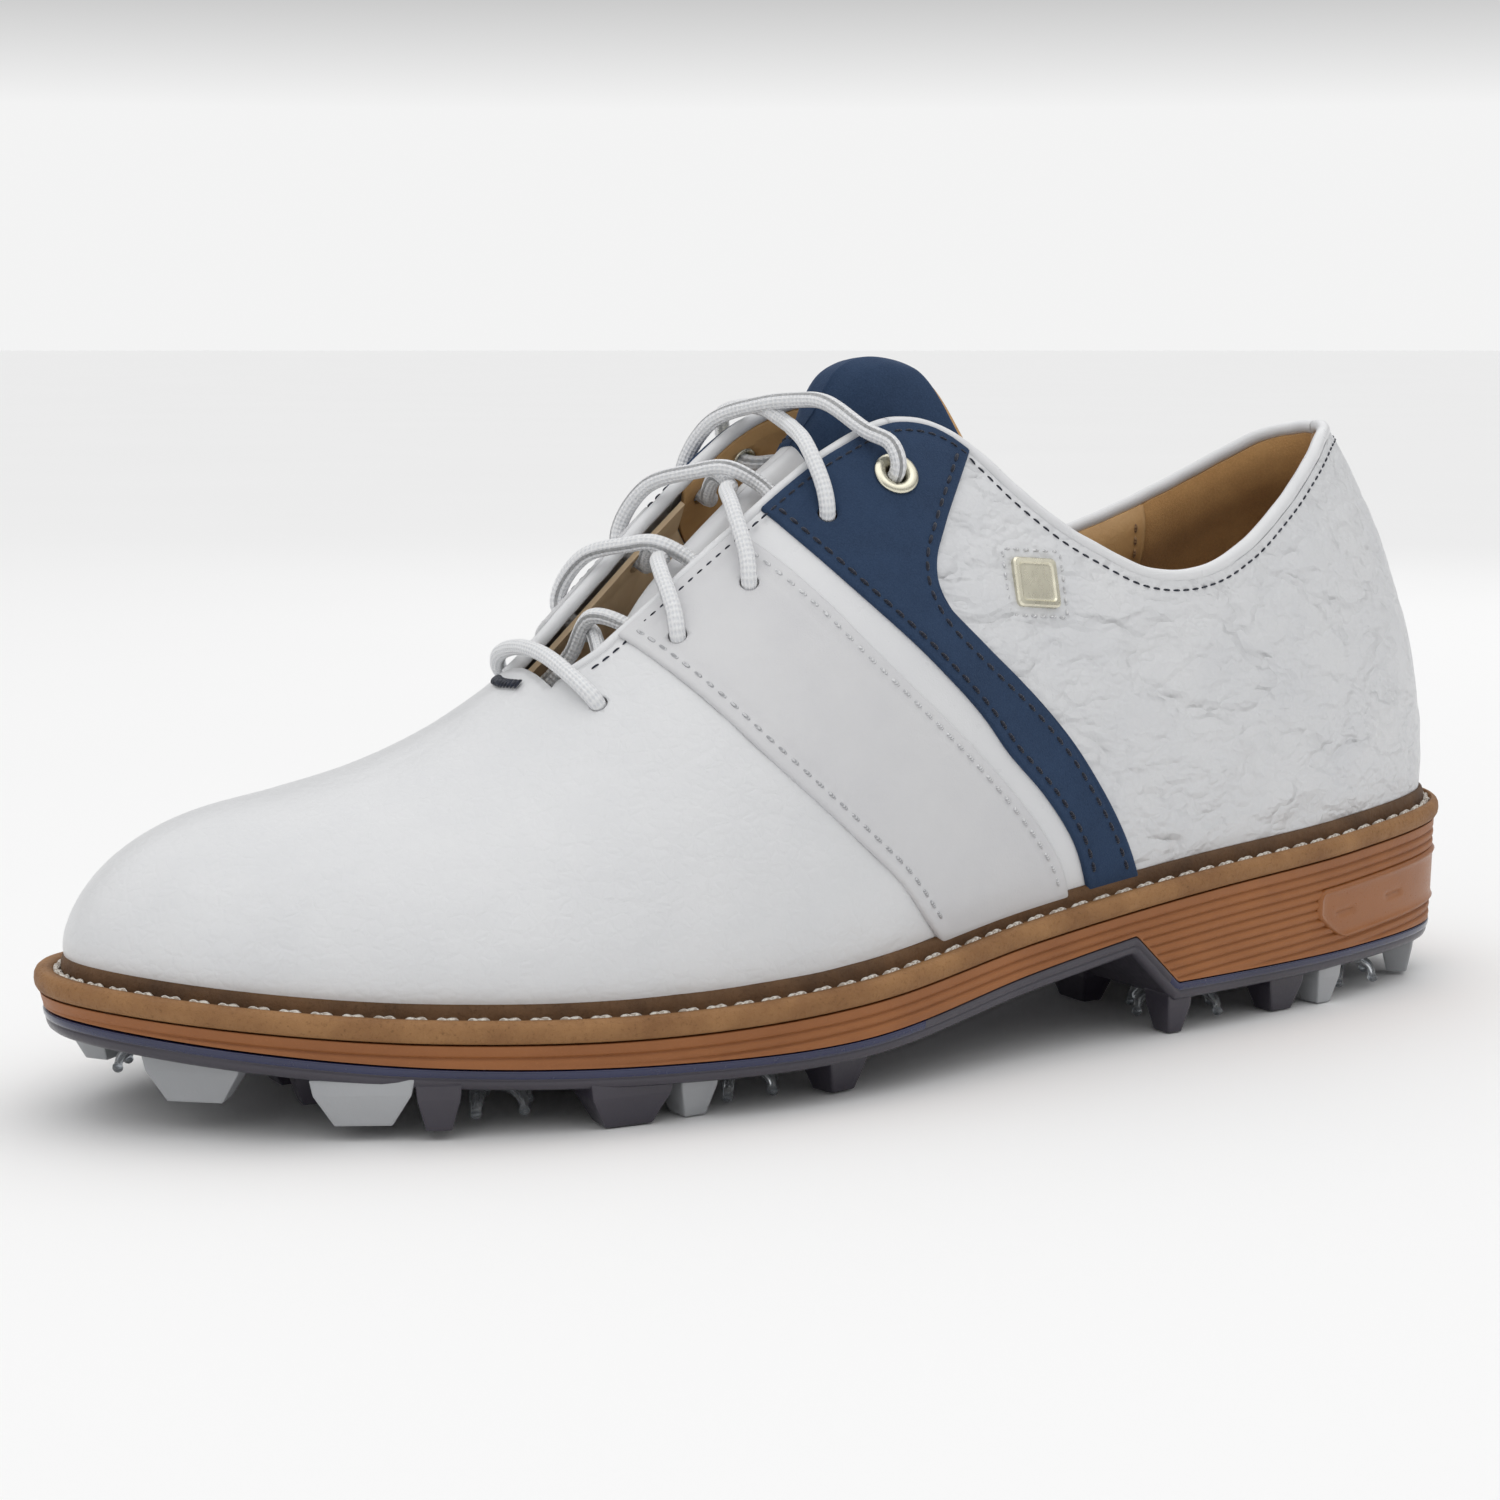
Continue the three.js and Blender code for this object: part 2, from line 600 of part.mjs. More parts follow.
function buildSole() {
  const midsole = soleLayer([
    [aboveTread(OUTSOLE_THICKNESS + GAP), 1.2],
    [aboveWelt(0), 0.4],
  ], 114);
  add('midsole', midsole, RUBBER);
  const welt = soleLayer([
    [aboveWelt(GAP), 0.5], [aboveWelt(2.4), -0.5], [aboveWelt(WELT_THICKNESS), 0.6],
  ], 76, WELT_WIDTH);
  add('welt', welt, WELT_LEATHER);
  const filler = soleLayer([[aboveWelt(GAP), BOARD_INSET], [aboveWelt(FILLER_TOP), BOARD_INSET]], 38);
  const [low, high] = SHANK.z;
  const slotX = [SHANK.x[0] - GAP, SHANK.x[1] + GAP];
  const slotY = [SHANK.y[0] - GAP, SHANK.y[1] + GAP];
  const slot = strip(slotX, slotY, aboveWelt(low - GAP), aboveWelt(FILLER_TOP + 1));
  add('cork_filler', cut(filler, [slot]), CORK);
  add('shank', strip(SHANK.x, SHANK.y, aboveWelt(low), aboveWelt(high)), STEEL);
  const board = soleLayer([[aboveWelt(FILLER_TOP + GAP), BOARD_INSET], [aboveWelt(BOARD_TOP), BOARD_INSET]], 38);
  add('insole_board', board, BOARD);
  const footbed = soleLayer([
    [aboveWelt(BOARD_TOP + GAP), BOARD_INSET], [aboveWelt(FOOTBED_TOP), BOARD_INSET + 0.4],
  ], 38);
  add('footbed', footbed, FOOTBED);
}

// Lugs: centre, turn in degrees, half length and half width where they leave the sole.
const LUGS = [
  [283, 13, -40, 9, 4], [286, -25, 35, 8, 4],
  [260, 31, -28, 9, 4.5], [262, -36, 25, 9, 4.5], [258, -4, 0, 8, 5], [262, 14, -10, 5, 4], [262, -20, 10, 5, 4],
  [249, 37.5, -24, 4, 3.2], [238, -3, 0, 9, 6],
  [217, 44, -4, 8, 5], [218, -45, 4, 8, 5], [217, 12, 10, 8, 5], [217, -18, -10, 8, 5],
  [204, 44, 4, 4, 4.5], [204, -44, -4, 4, 4.5], [192, 0, 0, 9, 6],
  [173, 43, 12, 5, 4.5], [174, -38, -10, 5, 4.5], [170, 10, 0, 7, 5], [170, -15, 0, 7, 5],
  [91, 36, 0, 3, 4], [91, -30, 0, 3, 4], [88, 3, 0, 4, 7],
  [60, 31, 5, 5, 4], [60, -27, -3, 5, 4], [56, 0, 0, 7, 9],
  [48, 30, 8, 3.5, 4], [48, -27, -8, 3.5, 4], [30, 0, 0, 6, 4],
  [14, 17, 45, 5, 3.5], [14, -17, -45, 5, 3.5],
];

function buildOutsole() {
  const plate = soleLayer([
    [treadHeight, 1.6], [aboveTread(OUTSOLE_THICKNESS), 0.8],
  ], 114);
  const lugs = LUGS.map(([x, y, turn, halfLength, halfWidth]) => {
    const root = treadHeight(x) + 1.2;
    const tip = Math.max(0, treadHeight(x) - LUG_HEIGHT);
    const block = taperedBlock([halfLength, halfWidth], root, [halfLength * 0.55, halfWidth * 0.6], tip);
    return block.rotateZ(THREE.MathUtils.degToRad(turn)).translate(x, y, 0);
  });
  const pockets = CLEATS.map(({ x, y }) => {
    const pocket = lathe([[0, -1], [RECEPTACLE.radius + GAP, -1], [RECEPTACLE.radius + GAP, 9], [0, 9]], 10);
    return pocket.rotateY(-treadTilt(x)).translate(x, y, treadHeight(x));
  });
  add('outsole', cut(join(plate, lugs), pockets), TREAD);
}

function treadTilt(x) {
  return Math.atan((treadHeight(x + 2) - treadHeight(x - 2)) / 4);
}

function cleatGeometry() {
  const { disc, discTop, discBottom, stud, studTop, height, foot } = CLEAT;
  const body = lathe([
    [0, discBottom], [disc * 0.8, discBottom], [disc, discBottom + 0.7], [disc, discTop], [stud, discTop],
    [stud, studTop], [0, studTop],
  ], 10);
  const legs = Array.from({ length: CLEAT.legs }, (_, k) => {
    const leg = taperedBlock([1.1, 1.2], discBottom + 0.5, [1.2, 1.7], -height, [foot - 7.8, 0]);
    return leg.translate(6.6, 0, 0).rotateZ((k * 2 * Math.PI) / CLEAT.legs);
  });
  return join(body, legs);
}

function buildCleats() {
  const cleat = cleatGeometry();
  const { radius, bore, top, boreTop } = RECEPTACLE;
  const receptacle = lathe([[bore, 0], [radius, 0], [radius, top], [0, top], [0, boreTop], [bore, boreTop], [bore, 0]], 10);
  for (const { name, x, y } of CLEATS) {
    const seat = new THREE.Group();
    seat.position.set(x, y, treadHeight(x));
    seat.rotation.y = -treadTilt(x);
    shoe.add(seat);
    add(name, cleat, CLEAT_PLASTIC, seat);
    add(name.replace('cleat', 'receptacle'), receptacle, RECEPTACLE_PLASTIC, seat);
  }
}

// Cylinders through the upper at the lace holes numbered from..to on one side.
function laceHoles(side, from, to, radius = LACE_HOLE_RADIUS) {
  return LACE_HOLES.slice(from - 1, to).map((_, row) => {
    const { x, arch } = laceHole(side, from - 1 + row);
    const middle = archPoint(x, arch, -2);
    const axis = archNormal(x, arch);
    const turn = new THREE.Quaternion().setFromUnitVectors(new THREE.Vector3(0, 1, 0), axis);
    const hole = new THREE.CylinderGeometry(radius, radius, 10, 10);
    return hole.applyQuaternion(turn).translate(middle.x, middle.y, middle.z);
  });
}

const SIDES = [[1, 'outer'], [-1, 'inner']];

const inFront = (seam) => (height) => seam(height) + SEAM_GAP;
const behind = (seam) => (height) => seam(height) - SEAM_GAP;
const atPlace = (s) => () => s;

function buildUpper() {
  const bothHoles = (from, to) => SIDES.flatMap(([side]) => laceHoles(side, from, to));
  const vamp = sheet([...crownGrids(), ...wingGrids(inFront(VAMP_SEAM), 4)], LEATHER);
  add('vamp', cut(vamp, bothHoles(1, 1)), WHITE);
  for (const [side, word] of SIDES) {
    const saddle = sheet([panelGrid(side, behind(VAMP_SEAM), inFront(STRAP_FRONT), 4, 7)], OVERLAY);
    add(`saddle_${word}`, cut(saddle, laceHoles(side, 2, 3)), PALE_GREY);
    const strap = sheet([panelGrid(side, behind(STRAP_FRONT), inFront(STRAP_REAR), 5, 10)], OVERLAY);
    add(`eyestay_strap_${word}`, cut(strap, laceHoles(side, 4, 5)), NAVY);
    const quarter = sheet([panelGrid(side, behind(STRAP_REAR), atPlace(0.025), 12, 7)], LEATHER);
    add(`quarter_${word}`, quarter, WHITE);
    const lining = sheet([panelGrid(side, behind(STRAP_FRONT), atPlace(LINING_SEAM + SEAM_GAP), 12, 6)], LINING);
    add(`quarter_lining_${word}`, cut(lining, laceHoles(side, 4, 5)), TAN);
  }
  const vampLining = sheet([...crownGrids(), ...wingGrids(inFront(STRAP_FRONT), 6)], LINING);
  add('vamp_lining', cut(vampLining, bothHoles(1, 3)), TAN);
  const edge = (reach, side) => topEdge(side)(reach);
  add('heel_lining', sheet([heelGrid(LINING_SEAM - SEAM_GAP, 12, 5, () => 0, edge)], LINING), SUEDE);
  add('toe_puff', sheet(crownGrids(4), STIFFENER), BOARD);
  const counterTop = (reach) => 0.56 - 0.05 * reach;
  add('heel_counter', sheet([heelGrid(2.9, 14, 3, () => 0.01, counterTop)], STIFFENER), BOARD);
  const foamBottom = (reach, side) => edge(reach, side) - 0.16;
  const foamTop = (reach, side) => edge(reach, side) - 0.02;
  add('collar_foam', sheet([heelGrid(3.3, 16, 1, foamBottom, foamTop)], STIFFENER), FOAM);
}

// Rolled binding along the cut edge, between two places given as signed steps from the heel.
const BINDING = { radius: 1.4, above: 2.2, depth: -1 };
function bindingPoints(from, to, count) {
  const edgeAt = (signed) => {
    const side = signed < 0 ? -1 : 1;
    return [sidePlace(side, Math.abs(signed)), topEdge(side)(Math.abs(signed))];
  };
  return Array.from({ length: count + 1 }, (_, i) => {
    const signed = mix(from, to, i / count);
    const along = lastPoint(...edgeAt(signed + 0.03)).sub(lastPoint(...edgeAt(signed - 0.03)));
    const normal = lastNormal(...edgeAt(signed));
    const up = along.cross(normal).normalize();
    return lastPoint(...edgeAt(signed)).addScaledVector(up, BINDING.above).addScaledVector(normal, BINDING.depth);
  });
}

function buildBindings() {
  const corner = 4.25;
  add('collar_binding', tube(bindingPoints(-corner, corner, 44), BINDING.radius, 6), WHITE);
  for (const [side, word] of SIDES) {
    const points = bindingPoints(side * (corner + 0.02), side * 5.86, 10);
    add(`throat_binding_${word}`, tube(points, BINDING.radius, 6), WHITE);
  }
}

// ---- Tongue ----------------------------------------------------------------------------------

// Stations run from the top edge to the base. The top edge slants, further back on the outer side.
const TONGUE_STATIONS = [132, 137, 142, 147, 151, 155, 160, 160.5, 170, 180, 187, 193, 199, 206, 214];
const TONGUE_SPLIT = 160;
const TONGUE_SLANT = 40;
const TONGUE_SLANT_END = 168;
const TONGUE_CENTRE = smoothTable(
  [132, 141, 145, 149, 152, 158, 170, 183, 192, 197, 214],
  [0.6, 1, 0, -2.6, -5, -7.6, -7.7, -7.7, -8, -9.2, -9.4],
);
const TONGUE_SIDES = {
  outer: {
    halfWidth: smoothTable([132, 150, 160, 214], [0.34, 0.34, 0.41, 0.4]),
    edgeDepth: smoothTable([132, 143, 156, 214], [-5.4, -5.6, -11.2, -11.2]),
    near: smoothTable([132, 145, 158, 214], [0.1, 0.1, 0.08, 0.08]),
    far: smoothTable([132, 145, 158, 214], [0.33, 0.32, 0.26, 0.26]),
  },
  inner: {
    halfWidth: smoothTable([132, 145, 152, 160, 190, 214], [0.2, 0.19, 0.22, 0.29, 0.34, 0.38]),
    edgeDepth: smoothTable([132, 214], [-11.2, -11.2]),
    near: smoothTable([132, 145, 158, 190, 214], [0.05, 0.05, 0.04, 0.03, 0.03]),
    far: smoothTable([132, 145, 158, 190, 214], [0.2, 0.2, 0.2, 0.18, 0.18]),
  },
};
const TONGUE_COVER = { outer: 0, inner: -1.2 };
const TONGUE_FOAM = { outer: -1.6, inner: -3.9 };
const TONGUE_LINING = { outer: -4.2, inner: -5 };

function tongueGrid(from, to) {
  const columns = 10;
  return TONGUE_STATIONS.filter((station) => station >= from && station <= to).map((station) => {
    const row = [];
    for (let j = 0; j <= columns; j += 1) {
      const share = mix(-1, 1, j / columns);
      const { halfWidth, edgeDepth, near, far } = share > 0 ? TONGUE_SIDES.outer : TONGUE_SIDES.inner;
      const arch = share * halfWidth(station);
      const spread = THREE.MathUtils.smoothstep(Math.abs(arch), near(station), far(station));
      const lift = mix(TONGUE_CENTRE(station), edgeDepth(station), spread);
      const fade = 1 - THREE.MathUtils.smoothstep(station, TONGUE_STATIONS[0], TONGUE_SLANT_END);
      const x = station - TONGUE_SLANT * arch * fade;
      const normal = archNormal(x, arch).lerp(archNormal(x, 0), 0.6).normalize();
      row.push({ point: archPoint(x, arch), lift, normal });
    }
    return row;
  });
}

function buildTongue() {
  add('tongue_upper', sheet([tongueGrid(132, TONGUE_SPLIT)], TONGUE_COVER), NAVY);
  add('tongue_lower', sheet([tongueGrid(160.5, 214)], TONGUE_COVER), WHITE);
  add('tongue_foam', sheet([tongueGrid(137, 206)], TONGUE_FOAM), FOAM);
  add('tongue_lining', sheet([tongueGrid(132, 214)], TONGUE_LINING), TAN);
}

// ---- Metal fittings --------------------------------------------------------------------------

function placeOnLast(mesh, position, axis) {
  mesh.position.copy(position);
  mesh.quaternion.setFromUnitVectors(new THREE.Vector3(0, 0, 1), axis);
}

function buildFittings() {
  const { bore, barrel, flange, top, bottom } = EYELET;
  const profile = [
    [bore, bottom], [barrel, bottom], [barrel, 0.8], [flange, 0.8], [flange - 0.5, top], [bore, top], [bore, bottom],
  ];
  const eyelet = lathe(profile, 12);
  for (const [side, word] of SIDES) {
    const { x, arch } = laceHole(side, LACE_HOLES.length - 1);
    const axis = archNormal(x, arch);
    placeOnLast(add(`eyelet_${word}`, eyelet, BRASS), archPoint(x, arch), axis);
  }
  const badge = taperedBlock([4.6, 4.6], 1.2, [5, 5], 0.4);
  const badgePlace = { s: 3.78, height: 0.608 };
  const axis = lastNormal(badgePlace.s, badgePlace.height);
  placeOnLast(add('quarter_badge', badge, BRASS), lastPoint(badgePlace.s, badgePlace.height), axis);
  const tack = taperedBlock([1, 6], 1.3, [1, 6], 0.6);
  const tackX = 216;
  const tackAxis = archNormal(tackX, 0);
  placeOnLast(add('bar_tack', tack, NAVY), archPoint(tackX, 0), tackAxis);
}

// ---- Lace ------------------------------------------------------------------------------------

// Points of the lace's route over the arch are [x, arch position, lift off the last].
// It rises from the tail on the footbed to the top eyelet, runs down through the rows to the
// throat base, over the bar and back up to the other top eyelet and tail.
// From the top eyelets the tails run down the inside of the wall.
const WALL_TAIL = {
  outer: [[137, 0.46, -6.4], [128, 0.53, -6.4], [119, 0.61, -6.4], [110, 0.7, -6.4], [102, 0.79, -6.4]],
  inner: [[147, -0.36, -6.4], [137, -0.43, -6.4], [128, -0.52, -6.4], [119, -0.6, -6.4], [110, -0.68, -6.4], [102, -0.77, -6.4]],
};
// Then forwards over the footbed beside the wall: [x, y].
const FLOOR_TAIL = {
  outer: [[97, 31], [101, 29], [111, 29.5], [124, 31], [138, 33], [152, 36], [166, 38], [178, 38.5], [190, 38]],
  inner: [[97, -20.5], [101, -19], [111, -20], [124, -21.5], [138, -24], [152, -28], [166, -31], [178, -33], [190, -34]],
};
const AGLET = { radius: 1.2, length: 22 };
const TAIL_LIFT = 0.6;

function laceRoute() {
  const holeArch = (side, row) => laceHole(side, row).arch;
  const edgeArch = (side, row) => {
    const place = placeAt(side, laceHole(side, row).x);
    const height = topEdge(side)(side > 0 ? place : TURNS - place);
    return side * (1 - archAngle(height) / (Math.PI / 2));
  };
  // From the hole of a row on one side, over that side's edge, to beneath the next row up.
  const climb = (side, row, crossing) => {
    const [low, high] = [laceHole(side, row), laceHole(-side, row + 1)];
    const along = (t) => mix(low.x, high.x, t);
    const hole = holeArch(side, row);
    const edge = edgeArch(side, row);
    const farEdge = edgeArch(-side, row + 1);
    const farHole = holeArch(-side, row + 1);
    const middle = (edge + farEdge) / 2;
    const points = [
      [low.x, hole, -4], [low.x, hole, 0.8], [along(0.1), mix(hole, edge, 0.35), 3.1],
      [along(0.26), mix(edge, middle, 0.16), 3.4], [along(0.4), mix(edge, middle, 0.6), mix(2.5, crossing, 0.55)],
      [along(0.52), middle, crossing],
    ];
    const under = [
      [along(0.66), mix(middle, farEdge, 0.5), side > 0 ? -4.2 : -5.9], [along(0.78), farEdge, -6.3],
      [along(0.92), mix(farEdge, farHole, 0.6), -6.7], [high.x, farHole, -6.2],
    ];
    return [...points, ...under];
  };
  const lastClimb = (side, crossing) => {
    const [low, high] = [laceHole(side, 3), laceHole(-side, 4)];
    const along = (t) => mix(low.x, high.x, t);
    const hole = holeArch(side, 3);
    const edge = edgeArch(side, 3);
    const farEdge = edgeArch(-side, 4);
    const farHole = holeArch(-side, 4);
    const middle = (edge + farEdge) / 2;
    return [
      [low.x, hole, -4], [low.x, hole, 0.8], [along(0.1), mix(hole, edge, 0.35), 3.1],
      [along(0.24), mix(edge, middle, 0.16), 3.4], [along(0.4), mix(edge, middle, 0.6), mix(2.7, crossing, 0.6)],
      [along(0.54), middle, crossing], [along(0.68), mix(middle, farEdge, 0.5), mix(2.7, crossing, 0.4)],
      [along(0.84), farEdge, side > 0 ? 4.6 : 3.4], [along(0.97), mix(farEdge, farHole, 0.5), 4.4],
      [high.x, farHole + side * 0.013, 3.6], [high.x, farHole, 1.6], [high.x, farHole, -5],
      [high.x - 2, farHole * 1.04, -6.6],
    ];
  };
  // Beneath the facings from the base row's hole to the next row's hole on the other side.
  const baseCross = (side, crossing) => {
    const [low, high] = [laceHole(side, 0), laceHole(-side, 1)];
    const along = (t) => mix(low.x, high.x, t);
    return [
      [low.x, holeArch(side, 0), -3.5], [along(0.05), holeArch(side, 0) * 0.95, -6.6],
      [along(0.27), holeArch(side, 0) * 0.55, -7], [along(0.5), 0, crossing],
      [along(0.7), holeArch(-side, 1) * 0.5, -6.8], [along(0.92), holeArch(-side, 1) * 0.92, -6.8],
      [high.x, holeArch(-side, 1), -6.3],
    ];
  };
  // The side that a path climbs from alternates; the inner side's strand lies on top at each crossing.
  const path = (side) => [
    ...baseCross(side, side > 0 ? -6.9 : -3.4),
    ...climb(-side, 1, side > 0 ? -2.2 : -5.7),
    ...climb(side, 2, side > 0 ? -5.7 : -2.2),
    ...lastClimb(-side, side > 0 ? -1.2 : -4.7),
  ];
  const bar = [
    [208.2, holeArch(1, 0) * 0.98, 0.6], [209, holeArch(1, 0) * 0.78, 2.6], [209.6, 0.1, 2.6],
    [209.6, -0.1, 2.6], [209, holeArch(-1, 0) * 0.76, 2.6], [208.2, holeArch(-1, 0) * 0.98, 0.6],
  ];
  const over = [...path(1).reverse(), ...bar, ...path(-1)].map(([x, arch, lift]) => archPoint(x, arch, lift));
  const tail = (word) => [
    ...WALL_TAIL[word].map(([x, arch, lift]) => archPoint(x, arch, lift)),
    ...FLOOR_TAIL[word].map(([x, y]) => onFootbed(x, y)),
  ];
  return [...tail('outer').reverse(), ...over, ...tail('inner')];
}

function onFootbed(x, y) {
  return new THREE.Vector3(x, y, weltBottom(x) + FOOTBED_TOP + LACE_RADIUS + TAIL_LIFT);
}

function buildLace() {
  const route = laceRoute();
  add('lace', tube(route, LACE_RADIUS), LACE);
  const ends = { outer: route.slice(0, 2), inner: route.slice(-2).reverse() };
  for (const [word, [end, before]] of Object.entries(ends)) {
    const away = end.clone().sub(before).normalize();
    const aglet = new THREE.CylinderGeometry(AGLET.radius, AGLET.radius, AGLET.length, 8).rotateX(Math.PI / 2);
    placeOnLast(add(`aglet_${word}`, aglet, CLEAR), end.addScaledVector(away, AGLET.length / 2 + GAP), away);
  }
}

buildOutsole();
buildSole();
buildCleats();
buildUpper();
buildBindings();
buildTongue();
buildFittings();
buildLace();

// Stand the shoe on z = 0 with the origin under the middle of its bounding box.
shoe.updateMatrixWorld(true);
const box = new THREE.Box3().setFromObject(shoe);
shoe.position.set(-(box.min.x + box.max.x) / 2, -(box.min.y + box.max.y) / 2, -box.min.z);

export default shoe;
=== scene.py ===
"""Looks of the golf shoe: leather panels, stitching, welt, rubber sole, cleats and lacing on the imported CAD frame."""

import math

import bmesh
import bpy
import numpy as np
from mathutils import Matrix, Vector, noise


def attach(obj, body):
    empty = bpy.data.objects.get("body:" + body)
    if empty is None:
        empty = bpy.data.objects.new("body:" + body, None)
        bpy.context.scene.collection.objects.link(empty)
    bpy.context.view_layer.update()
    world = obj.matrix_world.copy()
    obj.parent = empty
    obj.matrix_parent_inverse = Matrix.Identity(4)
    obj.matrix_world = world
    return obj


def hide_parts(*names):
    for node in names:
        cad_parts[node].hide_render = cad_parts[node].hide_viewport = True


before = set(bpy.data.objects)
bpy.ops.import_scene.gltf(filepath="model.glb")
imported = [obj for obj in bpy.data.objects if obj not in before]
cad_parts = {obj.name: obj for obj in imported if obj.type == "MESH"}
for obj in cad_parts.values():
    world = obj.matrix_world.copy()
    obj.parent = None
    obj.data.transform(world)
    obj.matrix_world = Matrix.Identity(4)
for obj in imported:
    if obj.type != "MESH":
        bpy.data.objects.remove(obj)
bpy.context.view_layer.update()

ROOT = "upper_and_sole"
TONGUE = "tongue"
MM = 0.001

# The shoe is laid out in millimetres from the back of the heel, and the row frame starts elsewhere.
ORIGIN = np.array([152.081, 0.93, 0.0])

# ---- Sizes shared with the CAD part ----------------------------------------------------------

SOLE_OUTLINE = np.array([
    [0, 0], [9, 22], [41, 34.5], [84, 42], [129, 46], [174, 54.5], [215, 52], [254, 40.5],
    [286, 23.5], [303, 2], [301, -18], [285, -35], [255, -48], [215, -53], [175, -46],
    [130, -36], [85, -33.5], [40, -34], [9, -22],
], float)
TURNS = len(SOLE_OUTLINE)
FEATHER_RISE = 5.0
COLLAR_CENTRE_X, COLLAR_BACK_X, COLLAR_HALF_WIDTH, COLLAR_FRONT_X = 75.0, 26.0, 17.0, 140.0
TOE_FAN_X, TOE_RIDGE_END_X = 205.0, 266.0
BULGE_HEIGHT = 0.22
FULLNESS_PEAK, FULLNESS_RISE = 3.9, 5
THROAT_BASE, THROAT_BASE_HEIGHT = 5.95, 0.955
LINING_SEAM = 2.4
TOP_EDGE_DROP = 0.02
PLATE_THICKNESS = 3.6
GAP = 0.3
LACE_RADIUS = 1.6
BOARD_INSET, FOOTBED_TOP = 10.1, 10.5


def table(xs, ys):
    """A smooth curve through (x, y) pairs, held level beyond both ends."""
    xs = np.array(xs, float)
    ys = np.array(ys, float)
    rise = np.diff(ys) / np.diff(xs)
    slope = np.empty_like(xs)
    slope[0], slope[-1] = rise[0], rise[-1]
    before, after = np.diff(xs)[:-1], np.diff(xs)[1:]
    slope[1:-1] = (rise[:-1] * after + rise[1:] * before) / (before + after)

    def value(x):
        at = np.clip(x, xs[0], xs[-1])
        i = np.clip(np.searchsorted(xs, at, side="left") - 1, 0, len(xs) - 2)
        span = xs[i + 1] - xs[i]
        t = (at - xs[i]) / span
        start = ys[i] * (1 + 2 * t) * (1 - t) ** 2 + slope[i] * span * t * (1 - t) ** 2
        end = ys[i + 1] * t * t * (3 - 2 * t) + slope[i + 1] * span * t * t * (t - 1)
        return start + end

    return value


welt_bottom = table([0, 45, 90, 130, 170, 210, 250, 306], [34.4, 31, 27.9, 23, 17.9, 15.9, 17, 22.8])
heel_tread = table([0, 45, 93], [8.4, 7.4, 7.2])
forefoot_tread = table([104, 130, 170, 210, 250, 306], [17.6, 13.5, 7.8, 7.3, 9.1, 16.4])
HEEL_BREAST = (93.0, 104.0)
feather_inset = table([0, 60, 120, 200, 306], [4, 4.5, 5.5, 5.5, 5.5])
ridge_height = table(
    [26, 75, 100, 120, 141, 155, 175, 195, 212, 225, 240, 255, 272],
    [118, 118, 122, 128, 130.5, 125, 109.5, 91.5, 75, 66.3, 59.7, 55.8, 53],
)
ridge_side = table([26, 75, 110, 150, 200, 250, 272], [0, 0, 0, -2, -3.5, -7, -8.5])
shoulder = table([26, 90, 130, 175, 215, 250, 272], [2.1, 2.1, 2, 1.8, 1.9, 2.2, 2.7])
roundness = table([26, 90, 130, 175, 215, 250, 272], [1.1, 1.15, 1.35, 1.45, 1.75, 2, 2.3])
instep_fullness = table([108, 130, 150, 165, 180, 195, 214], [0, 5, 10.5, 10.5, 7, 2.5, 0])
bulge_size = table([0, 60, 120, 200, 260, 306], [0.8, 1.2, 1.5, 2.5, 2.2, 1])

vamp_seam = table(
    [0, 0.062, 0.149, 0.243, 0.396, 0.512, 0.658, 0.803, 0.932],
    [4.46, 4.57, 4.71, 4.88, 5.12, 5.27, 5.42, 5.55, 5.65],
)
saddle_rear = table(
    [0.01, 0.065, 0.14, 0.236, 0.302, 0.413, 0.543, 0.682, 0.815, 0.903],
    [3.76, 3.8, 3.9, 4.07, 4.2, 4.41, 4.62, 4.79, 4.94, 5.04],
)
strap_front = table(
    [0, 0.119, 0.214, 0.307, 0.355, 0.483, 0.651, 0.798, 0.897],
    [3.65, 3.75, 3.89, 4.07, 4.14, 4.36, 4.63, 4.81, 4.91],
)
strap_rear = table(
    [0, 0.106, 0.209, 0.314, 0.393, 0.46, 0.562, 0.616, 0.652, 0.703, 0.779, 0.851],
    [3.37, 3.47, 3.59, 3.74, 3.89, 4.05, 4.24, 4.27, 4.25, 4.17, 4.04, 3.92],
)
TOP_PLACES = [0, 1.1, 1.59, 1.94, 2.27, 2.54, 2.82, 3.03, 3.23, 3.41, 3.63, 3.79, 3.91, 4.02, 4.2, 4.5, 4.91,
              5.2, 5.54, 5.75, THROAT_BASE]
outer_top = table(TOP_PLACES, [
    0.985, 0.982, 0.956, 0.888, 0.8, 0.721, 0.662, 0.647, 0.656, 0.689, 0.735, 0.79, 0.845, 0.88, 0.9, 0.9,
    0.906, 0.914, 0.927, 0.944, THROAT_BASE_HEIGHT + TOP_EDGE_DROP])
inner_top = table(TOP_PLACES, [
    0.985, 0.982, 0.96, 0.9, 0.83, 0.77, 0.715, 0.695, 0.7, 0.725, 0.765, 0.81, 0.86, 0.9, 0.935, 0.955,
    0.96, 0.962, 0.965, 0.97, THROAT_BASE_HEIGHT + TOP_EDGE_DROP])

# Lace holes from the throat base up: x and arch position, on the outer (1) and the inner (-1) side.
LACE_HOLES = {
    1: [(208, 0.34), (192.5, 0.375), (178, 0.4), (160.5, 0.4), (145, 0.4)],
    -1: [(208, -0.3), (196, -0.29), (182, -0.29), (166.5, -0.29), (156, -0.3)],
}
CLEATS = {
    "toe": (281, -6), "ball_front_outer": (236, 27), "ball_front_inner": (240, -33),
    "ball_rear_outer": (190, 34), "ball_rear_inner": (192, -33), "heel_front_outer": (80, 24),
    "heel_front_inner": (80, -18), "heel_rear_outer": (33, 17), "heel_rear_inner": (33, -17),
}
SIDES = ((1, "outer"), (-1, "inner"))

# ---- The last: outer surface of the upper ----------------------------------------------------


